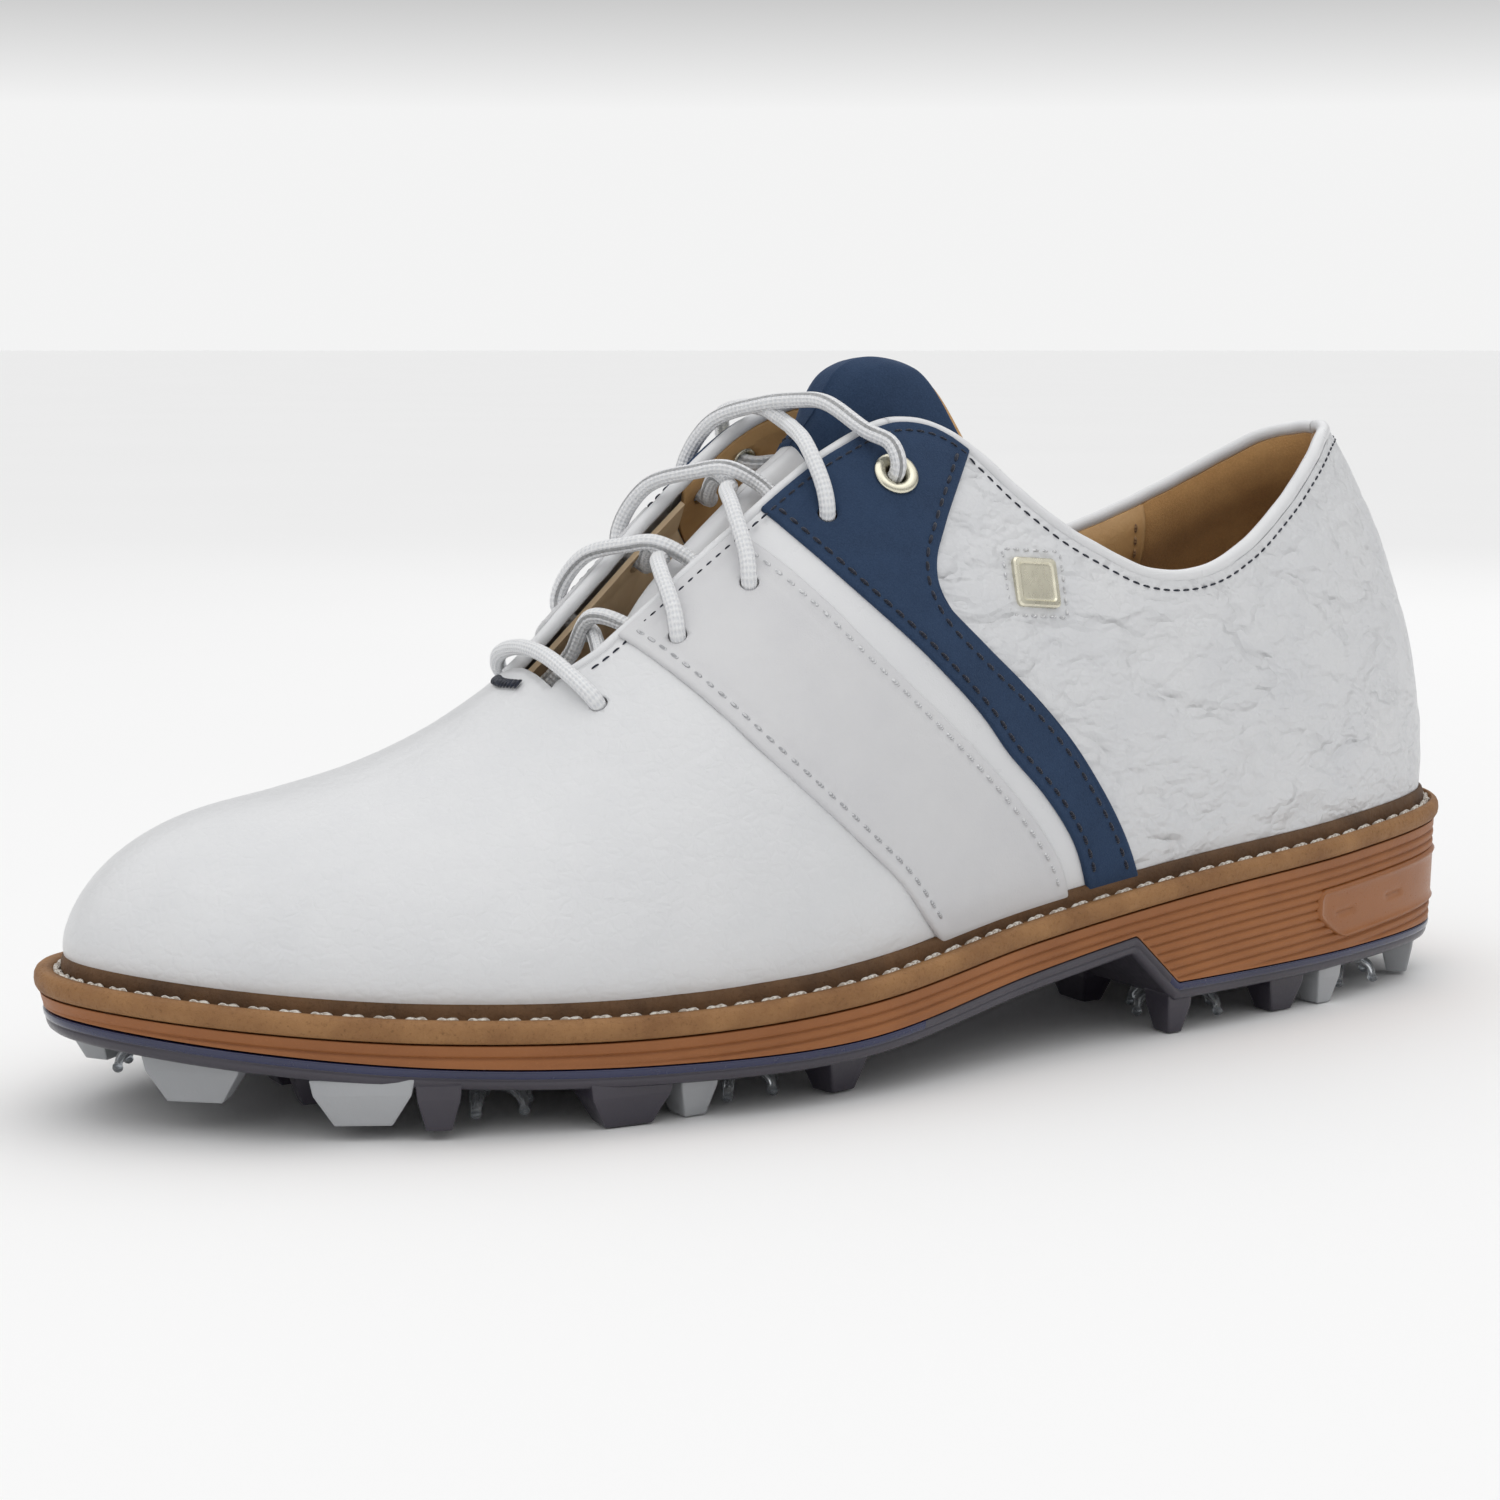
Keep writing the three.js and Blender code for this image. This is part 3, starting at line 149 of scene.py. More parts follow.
def mix(a, b, t):
    return a + (b - a) * t


def ease(u, m):
    """Eases from 0 with slope m to 1 with slope 1."""
    return m * u + (3 - 2 * m) * u ** 2 + (m - 2) * u ** 3


def smoothstep(x, low, high):
    t = np.clip((x - low) / (high - low), 0, 1)
    return t * t * (3 - 2 * t)


def tread_height(x):
    low, high = HEEL_BREAST
    step = mix(heel_tread(low), forefoot_tread(high), (x - low) / (high - low))
    return np.where(x <= low, heel_tread(x), np.where(x >= high, forefoot_tread(x), step))


def outline_point(place, inset=0.0):
    """Points on the closed plan outline moved inwards, and the outward direction there."""
    at = np.mod(np.asarray(place, float), TURNS)
    i = np.floor(at).astype(int)
    u = (at - i)[..., None]
    p0, p1, p2, p3 = (SOLE_OUTLINE[(i + k) % TURNS] for k in (-1, 0, 1, 2))
    bend = 2 * p0 - 5 * p1 + 4 * p2 - p3
    twist = 3 * p1 - p0 - 3 * p2 + p3
    value = 0.5 * (2 * p1 + (p2 - p0) * u + bend * u ** 2 + twist * u ** 3)
    speed = 0.5 * (p2 - p0 + 2 * bend * u + 3 * twist * u ** 2)
    along = speed / np.linalg.norm(speed, axis=-1, keepdims=True)
    distance = inset(value[..., 0]) if callable(inset) else inset
    x = value[..., 0] + along[..., 1] * distance
    y = value[..., 1] - along[..., 0] * distance
    return x, y, -along[..., 1], along[..., 0]


def feather_x(place):
    return outline_point(place, feather_inset)[0]


FORE_PLACES = np.arange(8.5, 10.5, 0.001)
TOE_PLACE = float(FORE_PLACES[np.argmax(feather_x(FORE_PLACES))])
FEATHER_BACK_X = float(feather_x(0.0))
FEATHER_TOE_X = float(feather_x(TOE_PLACE))
OUTER_PLACES = np.linspace(0, TOE_PLACE, 6000)
INNER_PLACES = np.linspace(TURNS, TOE_PLACE, 6000)
OUTER_X = feather_x(OUTER_PLACES)
INNER_X = feather_x(INNER_PLACES)


def last_point(place, height):
    """Outer surface of the upper: height runs from 0 at the feather to 1 at the ridge."""
    place, height = np.broadcast_arrays(np.asarray(place, float), np.asarray(height, float))
    fx, fy, out_x, out_y = outline_point(place, feather_inset)
    side = np.where(np.mod(place, TURNS) < TOE_PLACE, 1.0, -1.0)
    reach = COLLAR_CENTRE_X - COLLAR_BACK_X
    span = COLLAR_CENTRE_X - FEATHER_BACK_X
    k = ease((COLLAR_CENTRE_X - fx) / span, span / reach)
    v = np.clip((fx - COLLAR_CENTRE_X) / (COLLAR_FRONT_X - COLLAR_CENTRE_X), 0, 1)
    behind = fx < COLLAR_CENTRE_X
    top_x = np.where(behind, COLLAR_CENTRE_X - reach * k, fx)
    spread = np.where(behind, np.sqrt(np.clip(1 - k * k, 0, None)), 1 - v * v * (3 - 2 * v)) * COLLAR_HALF_WIDTH
    fore = fx > TOE_FAN_X
    fore_reach = TOE_RIDGE_END_X - TOE_FAN_X
    fore_span = FEATHER_TOE_X - TOE_FAN_X
    fan_x = TOE_FAN_X + fore_reach * ease((fx - TOE_FAN_X) / fore_span, fore_span / fore_reach)
    top_x = np.where(fore, fan_x, top_x)
    fall = np.where(fore, ridge_height(top_x + 0.5) - ridge_height(top_x - 0.5), 0)
    top_y = ridge_side(top_x) + side * spread
    low = welt_bottom(fx) + FEATHER_RISE
    h = np.clip(height, 0, 1)
    rho = np.clip(1 - h ** shoulder(top_x), 0, None) ** (1 / roundness(top_x))
    lean = h / BULGE_HEIGHT
    bulge = bulge_size(fx) * lean * np.exp(1 - lean) * (1 - h)
    x = mix(top_x, fx, rho) + out_x * bulge
    share = np.where(side < 0, FULLNESS_PEAK * h ** FULLNESS_RISE * np.sqrt(np.clip(1 - h * h, 0, None)), 0)
    y = mix(top_y, fy, rho) + out_y * bulge - instep_fullness(top_x) * share
    top = ridge_height(top_x) + fall * (x - top_x)
    return np.stack([x, y, mix(low, top, h)], -1)


def place_at(side, x):
    """Place on the outer (1) or inner (-1) half whose feather point lies at this x."""
    side, x = np.broadcast_arrays(np.asarray(side), np.asarray(x, float))
    return np.where(side > 0, np.interp(x, OUTER_X, OUTER_PLACES), np.interp(x, INNER_X, INNER_PLACES))


def side_place(side, s):
    return s if side > 0 else TURNS - s


def unit(v):
    return v / np.maximum(np.linalg.norm(v, axis=-1, keepdims=True), 1e-12)


def last_normal(place, height):
    place, height = np.broadcast_arrays(np.asarray(place, float), np.asarray(height, float))
    along = last_point(place + 0.02, height) - last_point(place - 0.02, height)
    up = last_point(place, np.minimum(height + 0.01, 0.999)) - last_point(place, height - 0.01)
    return unit(np.cross(up, along))


def arch_surface(x, arch):
    """Points over the arch at x: arch position 0 on the ridge, 1 at the outer and -1 at the inner feather."""
    x, arch = np.broadcast_arrays(np.asarray(x, float), np.asarray(arch, float))
    side = np.where(arch < 0, -1, 1)
    return last_point(place_at(side, x), np.cos(np.abs(arch) * math.pi / 2))


def arch_normal(x, arch):
    x, arch = np.broadcast_arrays(np.asarray(x, float), np.asarray(arch, float))
    across = arch_surface(x, arch + 0.02) - arch_surface(x, arch - 0.02)
    along = arch_surface(x + 1, arch) - arch_surface(x - 1, arch)
    return -unit(np.cross(across, along))


def arch_point(x, arch, lift=0.0):
    return arch_surface(x, arch) + arch_normal(x, arch) * np.asarray(lift, float)[..., None]


def top_edge(side):
    edge = outer_top if side > 0 else inner_top
    return lambda s: edge(s) - TOP_EDGE_DROP


def raised_top(side, rise):
    """The cut edge's height, carried up the surface by rise in millimetres, towards the binding."""
    places = np.linspace(0, THROAT_BASE, 120)
    low = top_edge(side)(places)
    step = 0.01
    reach = last_point(side_place(side, places), low) - last_point(side_place(side, places), low - step)
    high = low + rise * step / np.linalg.norm(reach, axis=-1)
    return lambda s: np.interp(s, places, high)


# ---- Mesh helpers ----------------------------------------------------------------------------


def to_row(points):
    return (np.asarray(points, float) - ORIGIN) * MM


def new_mesh(name, points, faces, material, body=ROOT, uvs=None, indices=None, smooth=True):
    """A piece from points in shoe millimetres. uvs holds one pair per point; indices one material each."""
    mesh = bpy.data.meshes.new(name)
    mesh.from_pydata(to_row(points).tolist(), [], [list(map(int, f)) for f in faces])
    mesh.polygons.foreach_set("use_smooth", [smooth] * len(mesh.polygons))
    if uvs is not None:
        layer = mesh.uv_layers.new(name="UVMap")
        corners = np.empty(len(mesh.loops), np.int32)
        mesh.loops.foreach_get("vertex_index", corners)
        layer.data.foreach_set("uv", np.asarray(uvs, np.float32)[corners].ravel())
    materials = material if isinstance(material, list) else [material]
    for m in materials:
        mesh.materials.append(m)
    if indices is not None:
        mesh.polygons.foreach_set("material_index", np.asarray(indices, np.int32))
    mesh.update()
    piece = bpy.data.objects.new(name, mesh)
    bpy.context.scene.collection.objects.link(piece)
    if body:
        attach(piece, body)
    return piece


def grid_faces(rows, columns, start=0, flip=False):
    i, j = np.meshgrid(np.arange(rows - 1), np.arange(columns - 1), indexing="ij")
    a = (start + i * columns + j).ravel()
    quads = np.stack([a, a + columns, a + columns + 1, a + 1], -1)
    return quads[:, ::-1] if flip else quads


def weld(points, faces, *values):
    """Merges points that coincide to a hundredth of a millimetre, and drops faces that collapse."""
    keys = np.round(points / 0.01).astype(np.int64)
    _, first, inverse = np.unique(keys, axis=0, return_index=True, return_inverse=True)
    inverse = inverse.ravel()
    kept = []
    for face in faces:
        loop = [int(v) for v in inverse[list(face)]]
        loop = [v for k, v in enumerate(loop) if v != loop[k - 1]]
        if len(set(loop)) > 2:
            kept.append(loop)
    return (points[first], kept, *[v[first] for v in values])


def slab(name, points, faces, normals, outer, inner, material, body=ROOT, rim=None):
    """A closed skin: the surface offset to outer and inner along its normals, with a wall round the edge."""
    outer = np.broadcast_to(outer, len(points))
    inner = np.broadcast_to(inner, len(points))
    count = len(points)
    shell = np.concatenate([points + normals * outer[:, None], points + normals * inner[:, None]])
    directed = set()
    for face in faces:
        for a, b in zip(face, [*face[1:], face[0]]):
            directed.add((a, b))
    border = [(a, b) for a, b in directed if (b, a) not in directed]
    border.sort()
    all_faces = [list(f) for f in faces]
    all_faces += [[v + count for v in reversed(f)] for f in faces]
    indices = [0] * len(all_faces)
    walls = {}
    extra = []
    for v in sorted({v for edge in border for v in edge}):
        walls[v] = 2 * count + len(extra)
        extra += [shell[v], shell[v + count]]
    for a, b in border:
        all_faces.append([walls[b], walls[a], walls[a] + 1, walls[b] + 1])
        indices.append(1 if rim else 0)
    shell = np.concatenate([shell, np.array(extra).reshape(-1, 3)])
    return new_mesh(name, shell, all_faces, [material, rim] if rim else material, body, indices=indices)


def orient(points, faces, normals):
    """Turns all faces over if they face against the normals."""
    f = np.array(faces[len(faces) // 2])
    a, b, c = points[f[0]], points[f[1]], points[f[2]]
    if np.dot(np.cross(b - a, c - a), normals[f[0]]) < 0:
        return [list(face)[::-1] for face in faces]
    return [list(face) for face in faces]


def edge_steps(length, pitch, fine=(0.15, 0.4, 0.8, 1.4)):
    """Positions from 0 to 1 along a length in millimetres, closer together at both ends."""
    inside = max(2, int(round((length - 2 * fine[-1]) / pitch)))
    middle = np.linspace(fine[-1], length - fine[-1], inside + 1)
    return np.concatenate([[0], fine[:-1], middle, length - np.array(fine[:-1])[::-1], [length]]) / length


def edge_distance(points, closed_edges=()):
    """Distance in millimetres from each point of a grid to its nearest open edge."""
    along = np.concatenate([np.zeros_like(points[:1, :, 0]),
                            np.cumsum(np.linalg.norm(np.diff(points, axis=0), axis=-1), 0)])
    across = np.concatenate([np.zeros_like(points[:, :1, 0]),
                             np.cumsum(np.linalg.norm(np.diff(points, axis=1), axis=-1), 1)], 1)
    distances = {
        "front": along, "rear": along[-1:] - along,
        "bottom": across, "top": across[:, -1:] - across,
    }
    kept = [d for key, d in distances.items() if key not in closed_edges]
    return np.min(kept, 0)


def rounded(distance, radius):
    """How far a surface falls near its edge, for an edge rounded to this radius."""
    inside = np.clip(1 - distance / radius, 0, 1)
    return radius * (1 - np.sqrt(np.clip(1 - inside ** 2, 0, 1)))


def seam_top(seam, top):
    s = seam(0.9)
    for _ in range(12):
        s = seam(top(s))
    return s


def panel_grid(side, front, rear, u_steps, v_steps, top):
    """Places and heights of a grid between two seams, under the top edge."""
    front_top, rear_top = seam_top(front, top), seam_top(rear, top)
    v = v_steps[None, :]
    w = u_steps[:, None]
    front_s = front(np.sin(np.arcsin(top(front_top)) * v))
    rear_s = rear(np.sin(np.arcsin(top(rear_top)) * v))
    s = mix(front_s, rear_s, w)
    height = np.sin(np.arcsin(top(mix(front_top, rear_top, w))) * v)
    return side_place(side, s), np.broadcast_to(height, s.shape)


def leather_panel(name, side, front, rear, size, layer, material, edge=0.5, top_rise=1.2, pitch=1.3,
                  relief=None, closed_edges=("bottom", "top"), rim=None):
    """A leather panel between two seams, with rounded cut edges. size is its rough width and height."""
    width, height = size
    place, h = panel_grid(side, front, rear, edge_steps(width, pitch), edge_steps(height, pitch),
                          raised_top(side, top_rise))
    points = last_point(place, h)
    normals = last_normal(place, h)
    outer = np.full(place.shape, float(layer[0])) - rounded(edge_distance(points, closed_edges), edge)
    if relief is not None:
        outer = outer + relief(points, edge_distance(points, ()))
    flat_points, flat_normals = points.reshape(-1, 3), normals.reshape(-1, 3)
    faces = orient(flat_points, grid_faces(*place.shape), flat_normals)
    return slab(name, flat_points, faces, flat_normals, outer.ravel(), layer[1], material, rim=rim)


def smooth_route(points, steps):
    """A centripetal Catmull-Rom curve through the points, with steps points to each stretch."""
    points = np.asarray(points, float)
    padded = np.concatenate([[2 * points[0] - points[1]], points, [2 * points[-1] - points[-2]]])
    out = []
    for k in range(1, len(padded) - 2):
        p0, p1, p2, p3 = padded[k - 1:k + 3]
        t0 = 0.0
        t1 = t0 + max(1e-6, np.linalg.norm(p1 - p0)) ** 0.5
        t2 = t1 + max(1e-6, np.linalg.norm(p2 - p1)) ** 0.5
        t3 = t2 + max(1e-6, np.linalg.norm(p3 - p2)) ** 0.5
        for step in range(steps):
            t = mix(t1, t2, step / steps)
            a1 = mix(p0, p1, (t - t0) / (t1 - t0))
            a2 = mix(p1, p2, (t - t1) / (t2 - t1))
            a3 = mix(p2, p3, (t - t2) / (t3 - t2))
            b1 = mix(a1, a2, (t - t0) / (t2 - t0))
            b2 = mix(a2, a3, (t - t1) / (t3 - t1))
            out.append(mix(b1, b2, (t - t1) / (t2 - t1)))
    out.append(points[-1])
    return np.array(out)


def even_route(points, pitch):
    """The same line with points an even pitch apart."""
    lengths = np.concatenate([[0], np.cumsum(np.linalg.norm(np.diff(points, axis=0), axis=-1))])
    at = np.linspace(0, lengths[-1], max(2, int(round(lengths[-1] / pitch)) + 1))
    return np.stack([np.interp(at, lengths, points[:, k]) for k in range(3)], -1)


def tangents(points):
    return unit(np.gradient(points, axis=0))


def carried_frames(points):
    """A frame carried along a line without twisting."""
    along = tangents(points)
    start = np.cross(along[0], [0.3, 0.1, 1.0])
    side = unit(start)
    sides = [side]
    for k in range(1, len(points)):
        side = unit(side - along[k] * np.dot(side, along[k]))
        sides.append(side)
    sides = np.array(sides)
    return along, sides, np.cross(along, sides)


def tube(name, points, radius, material, body=ROOT, sides=16, shape=None, closed=False):
    """A round tube along a line. uvs run once round it, and along it in millimetres."""
    _, side, up = carried_frames(points)
    angles = np.linspace(0, 2 * math.pi, sides, endpoint=False)
    radius = np.broadcast_to(radius, len(points))
    lengths = np.concatenate([[0], np.cumsum(np.linalg.norm(np.diff(points, axis=0), axis=-1))])
    rings = points[:, None] + radius[:, None, None] * (
        np.cos(angles)[None, :, None] * side[:, None] + np.sin(angles)[None, :, None] * up[:, None])
    if shape is not None:
        rings = shape(rings, points, lengths, angles)
    count = len(points)
    faces = []
    for i in range(count - 1):
        for j in range(sides):
            n = (j + 1) % sides
            faces.append([i * sides + j, i * sides + n, (i + 1) * sides + n, (i + 1) * sides + j])
    faces.append(list(range(sides))[::-1])
    faces.append([(count - 1) * sides + j for j in range(sides)])
    uvs = np.stack([np.broadcast_to(angles / (2 * math.pi), (count, sides)),
                    np.broadcast_to(lengths[:, None], (count, sides))], -1).reshape(-1, 2)
    return new_mesh(name, rings.reshape(-1, 3), faces, material, body, uvs=uvs)


def place_copies(name, shape_points, shape_faces, centres, axes_x, axes_y, axes_z, material, body=ROOT, smooth=True):
    """Many copies of one small shape in a single piece, each with its own axes."""
    shape_points = np.asarray(shape_points, float)
    count = len(shape_points)
    points = (centres[:, None] + shape_points[None, :, :1] * axes_x[:, None]
              + shape_points[None, :, 1:2] * axes_y[:, None] + shape_points[None, :, 2:] * axes_z[:, None])
    faces = [[v + k * count for v in face] for k in range(len(centres)) for face in shape_faces]
    return new_mesh(name, points.reshape(-1, 3), faces, material, body, smooth=smooth)


def capsule(length, radius, flat=1.0, sides=7, rings=(0.0, 0.28, 0.62, 1.0)):
    """A thread's visible length: a rounded bar along x that dips at both ends."""
    half = length / 2
    profile = []
    for t in np.linspace(-1, 1, 9):
        profile.append((t * half, radius * math.sqrt(max(0.0, 1 - abs(t) ** 2.6)) + 0.02))
    points = []
    for x, r in profile:
        for k in range(sides):
            angle = 2 * math.pi * k / sides
            dip = -radius * 0.9 * (abs(x) / half) ** 3
            points.append([x, r * math.cos(angle), r * flat * math.sin(angle) + dip])
    faces = []
    for i in range(len(profile) - 1):
        for k in range(sides):
            n = (k + 1) % sides
            faces.append([i * sides + k, (i + 1) * sides + k, (i + 1) * sides + n, i * sides + n])
    faces.append([k for k in range(sides)])
    faces.append([(len(profile) - 1) * sides + k for k in range(sides)][::-1])
    return points, faces


def stitch_row(name, points, normals, material, pitch=2.9, length=2.3, radius=0.33, lift=0.12, slant=0.0,
               body=ROOT):
    """A row of lockstitches along a line on a surface."""
    lengths = np.concatenate([[0], np.cumsum(np.linalg.norm(np.diff(points, axis=0), axis=-1))])
    count = max(1, int(lengths[-1] / pitch))
    at = (np.arange(count) + 0.5) * lengths[-1] / count
    spot = np.stack([np.interp(at, lengths, points[:, k]) for k in range(3)], -1)
    out = unit(np.stack([np.interp(at, lengths, normals[:, k]) for k in range(3)], -1))
    ahead = np.stack([np.interp(at + 0.5, lengths, points[:, k]) for k in range(3)], -1)
    behind = np.stack([np.interp(at - 0.5, lengths, points[:, k]) for k in range(3)], -1)
    along = unit(ahead - behind)
    across = unit(np.cross(out, along))
    turned = unit(along + across * slant)
    across = unit(np.cross(out, turned))
    shape, faces = capsule(length, radius)
    return place_copies(name, shape, faces, spot + out * lift, turned, across, out, material, body)


def seam_line(side, seam, low, high, count=80, top=None):
    """Points and normals along a seam given as a place for each height."""
    heights = np.linspace(low, high, count)
    place = side_place(side, seam(heights))
    return last_point(place, heights), last_normal(place, heights)


def shifted(points, normals, distance, lift, towards):
    """A line moved sideways over the surface by distance, on the side nearer to the point towards."""
    across = unit(np.cross(normals, tangents(points)))
    middle = len(points) // 2
    if np.dot(across[middle], np.asarray(towards) - points[middle]) < 0:
        across = -across
    return points + across * distance + normals * lift


def cut_holes(piece, centres, axes, radius, sides=24):
    """Punches round holes through a piece."""
    cutter_mesh = bpy.data.meshes.new("cutter")
    bm = bmesh.new()
    for centre, axis in zip(to_row(centres), axes):
        turn = Vector(axis).to_track_quat("Z", "Y").to_matrix().to_4x4()
        bmesh.ops.create_cone(bm, cap_ends=True, segments=sides, radius1=radius * MM, radius2=radius * MM,
                              depth=9 * MM, matrix=Matrix.Translation(Vector(centre)) @ turn)
    bm.to_mesh(cutter_mesh)
    bm.free()
    cutter = bpy.data.objects.new("cutter", cutter_mesh)
    bpy.context.scene.collection.objects.link(cutter)
    cut = piece.modifiers.new("holes", "BOOLEAN")
    cut.operation = "DIFFERENCE"
    cut.object = cutter
    cut.solver = "EXACT"
    graph = bpy.context.evaluated_depsgraph_get()
    made = bpy.data.meshes.new_from_object(piece.evaluated_get(graph))
    piece.modifiers.clear()
    piece.data = made
    bpy.data.objects.remove(cutter)
    return piece


# ---- Materials -------------------------------------------------------------------------------


class Paint:
    """Builds one material's node tree on the surface's own coordinates."""

    def __init__(self, name, **settings):
        self.material = bpy.data.materials.new(name)
        self.material.use_nodes = True
        self.tree = self.material.node_tree
        self.shader = self.tree.nodes["Principled BSDF"]
        self.coordinates = self.tree.nodes.new("ShaderNodeTexCoord").outputs["Object"]
        for key, value in settings.items():
            self.shader.inputs[key.replace("_", " ")].default_value = value

    def node(self, kind, inputs=None, **settings):
        made = self.tree.nodes.new("ShaderNode" + kind)
        for key, value in settings.items():
            setattr(made, key, value)
        for key, value in (inputs or {}).items():
            if isinstance(value, bpy.types.NodeSocket):
                self.tree.links.new(value, made.inputs[key])
            else:
                made.inputs[key].default_value = value
        return made

    def stretched(self, scale=(1, 1, 1), turn=(0, 0, 0)):
        mapped = self.node("Mapping", {"Vector": self.coordinates, "Scale": scale, "Rotation": turn})
        return mapped.outputs[0]

    def noise(self, scale, detail=4.0, rough=0.5, vector=None, kind="FBM", distortion=0.0):
        made = self.node("TexNoise", {
            "Vector": vector or self.coordinates, "Scale": scale, "Detail": detail,
            "Roughness": rough, "Distortion": distortion}, noise_type=kind)
        return made.outputs[0]

    def cells(self, scale, vector=None, feature="F1", randomness=1.0):
        made = self.node("TexVoronoi", {
            "Vector": vector or self.coordinates, "Scale": scale, "Randomness": randomness}, feature=feature)
        return made.outputs["Distance"]

    def math(self, operation, a, b=0.0):
        return self.node("Math", {0: a, 1: b}, operation=operation).outputs[0]

    def ramp(self, value, low, high, to_low=0.0, to_high=1.0):
        made = self.node("MapRange", {
            "Value": value, "From Min": low, "From Max": high, "To Min": to_low, "To Max": to_high})
        return made.outputs[0]

    def blend(self, factor, a, b):
        made = self.node("Mix", {"Factor": factor}, data_type="RGBA")
        for socket, value in ((made.inputs[6], a), (made.inputs[7], b)):
            if isinstance(value, bpy.types.NodeSocket):
                self.tree.links.new(value, socket)
            else:
                socket.default_value = (*value, 1.0)
        return made.outputs[2]

    def warped(self, scale, amount, vector=None):
        """Coordinates pushed about by noise, amount in metres."""
        push = self.node("TexNoise", {"Vector": vector or self.coordinates, "Scale": scale, "Detail": 2.0})
        centred = self.node("VectorMath", {0: push.outputs["Color"], 1: (0.5, 0.5, 0.5)}, operation="SUBTRACT")
        moved = self.node("VectorMath", {0: centred.outputs[0], "Scale": amount}, operation="SCALE")
        made = self.node("VectorMath", {0: vector or self.coordinates, 1: moved.outputs[0]}, operation="ADD")
        return made.outputs[0]

    def bump(self, height, distance, strength=1.0):
        """Adds a bump whose height of 1 stands this many metres proud."""
        inputs = {"Height": height, "Distance": distance, "Strength": strength}
        before = self.shader.inputs["Normal"].links
        if before:
            inputs["Normal"] = before[0].from_socket
        self.tree.links.new(self.node("Bump", inputs).outputs[0], self.shader.inputs["Normal"])

    def colour(self, socket):
        self.tree.links.new(socket, self.shader.inputs["Base Color"])

    def rough(self, socket):
        self.tree.links.new(socket, self.shader.inputs["Roughness"])


def leather_material(name, colour, shade, roughness, pores=0.00006, pebble=0.0, crease=0.0, wax=0.0):
    """Grained leather: fine pores, an optional pebble of small cells, and optional flex creases."""
    p = Paint(name, Coat_Weight=wax, Coat_Roughness=0.35, Specular_IOR_Level=0.5)
    tone = p.noise(55, 5, 0.6)
    p.colour(p.blend(p.ramp(tone, 0.35, 0.7), colour, shade))
    p.rough(p.ramp(p.noise(420, 3), 0.3, 0.7, roughness - 0.05, roughness + 0.07))
    p.bump(p.noise(2600, 3, 0.6), pores)
    if pebble:
        warp = p.warped(260, 0.0016)
        edge = p.cells(430, warp, "DISTANCE_TO_EDGE")
        p.bump(p.ramp(edge, 0.0, 0.22), pebble)
    if crease:
        long_way = p.stretched((0.7, 1.0, 1.2), (0.2, 0.35, 0.3))
        for scale, depth, width in ((38, crease, 0.07), (95, crease * 0.5, 0.09)):
            level = p.math("ABSOLUTE", p.math("SUBTRACT", p.noise(scale, 3, 0.5, long_way), 0.5))
            p.bump(p.ramp(level, 0.0, width), depth)
    return p.material


def nubuck_material():
    p = Paint("navy_nubuck", Sheen_Weight=0.22, Sheen_Roughness=0.45, Specular_IOR_Level=0.2)
    p.shader.inputs["Sheen Tint"].default_value = (0.4, 0.5, 0.75, 1)
    cloud = p.noise(70, 6, 0.65)
    nap = p.noise(3200, 3, 0.7)
    base = p.blend(p.ramp(cloud, 0.3, 0.72), (0.016, 0.033, 0.070), (0.027, 0.052, 0.106))
    # Lighter specks where the nap is high, as in its bump: painted highlight on the raised fibre tips, over the cloudy
    # tone.
    p.colour(p.blend(p.math("MULTIPLY", p.ramp(nap, 0.35, 0.75), 0.55), base, (0.042, 0.074, 0.14)))
    p.rough(p.ramp(cloud, 0.2, 0.8, 0.82, 0.95))
    p.bump(nap, 0.00012)
    p.bump(p.noise(190, 3), 0.00025)
    return p.material


def suede_material(name, dark, light):
    p = Paint(name, Sheen_Weight=0.4, Sheen_Roughness=0.4, Specular_IOR_Level=0.2)
    cloud = p.noise(60, 5, 0.6)
    nap = p.noise(2400, 4, 0.75)
    base = p.blend(p.ramp(cloud, 0.3, 0.7), dark, light)
    # Lighter specks where the nap is high, as in its bump: painted highlight on the raised fibre tips, over the cloudy
    # tone.
    p.colour(p.blend(p.math("MULTIPLY", p.ramp(nap, 0.4, 0.8), 0.4), base, tuple(min(1, c * 1.5) for c in light)))
    p.rough(p.ramp(cloud, 0.2, 0.8, 0.8, 0.95))
    p.bump(nap, 0.00018)
    return p.material


def welt_material(name, dark, light):
    """Cut and sanded leather: speckled fibres, pits and a light wax."""
    p = Paint(name, Specular_IOR_Level=0.4)
    speckle = p.noise(1500, 5, 0.75)
    cloud = p.noise(90, 4, 0.6)
    base = p.blend(p.ramp(cloud, 0.3, 0.72), dark, light)
    p.colour(p.blend(p.math("MULTIPLY", p.ramp(speckle, 0.55, 0.8), 0.8), base, tuple(c * 0.35 for c in dark)))
    p.rough(p.ramp(speckle, 0.3, 0.7, 0.5, 0.75))
    p.bump(speckle, 0.00022)
    p.bump(p.noise(320, 3), 0.0003)
    return p.material


def rubber_material(name, roughness):
    p = Paint(name, Specular_IOR_Level=0.45)
    cloud = p.noise(40, 4, 0.6)
    dust = p.noise(1900, 3, 0.7)
    base = p.blend(p.ramp(cloud, 0.3, 0.7), (0.27, 0.094, 0.024), (0.34, 0.125, 0.034))
    p.colour(p.blend(p.math("MULTIPLY", p.ramp(dust, 0.55, 0.8), 0.35), base, (0.42, 0.18, 0.075)))
    p.rough(p.ramp(dust, 0.3, 0.7, roughness, roughness + 0.18))
    p.bump(dust, 0.00005)
    return p.material


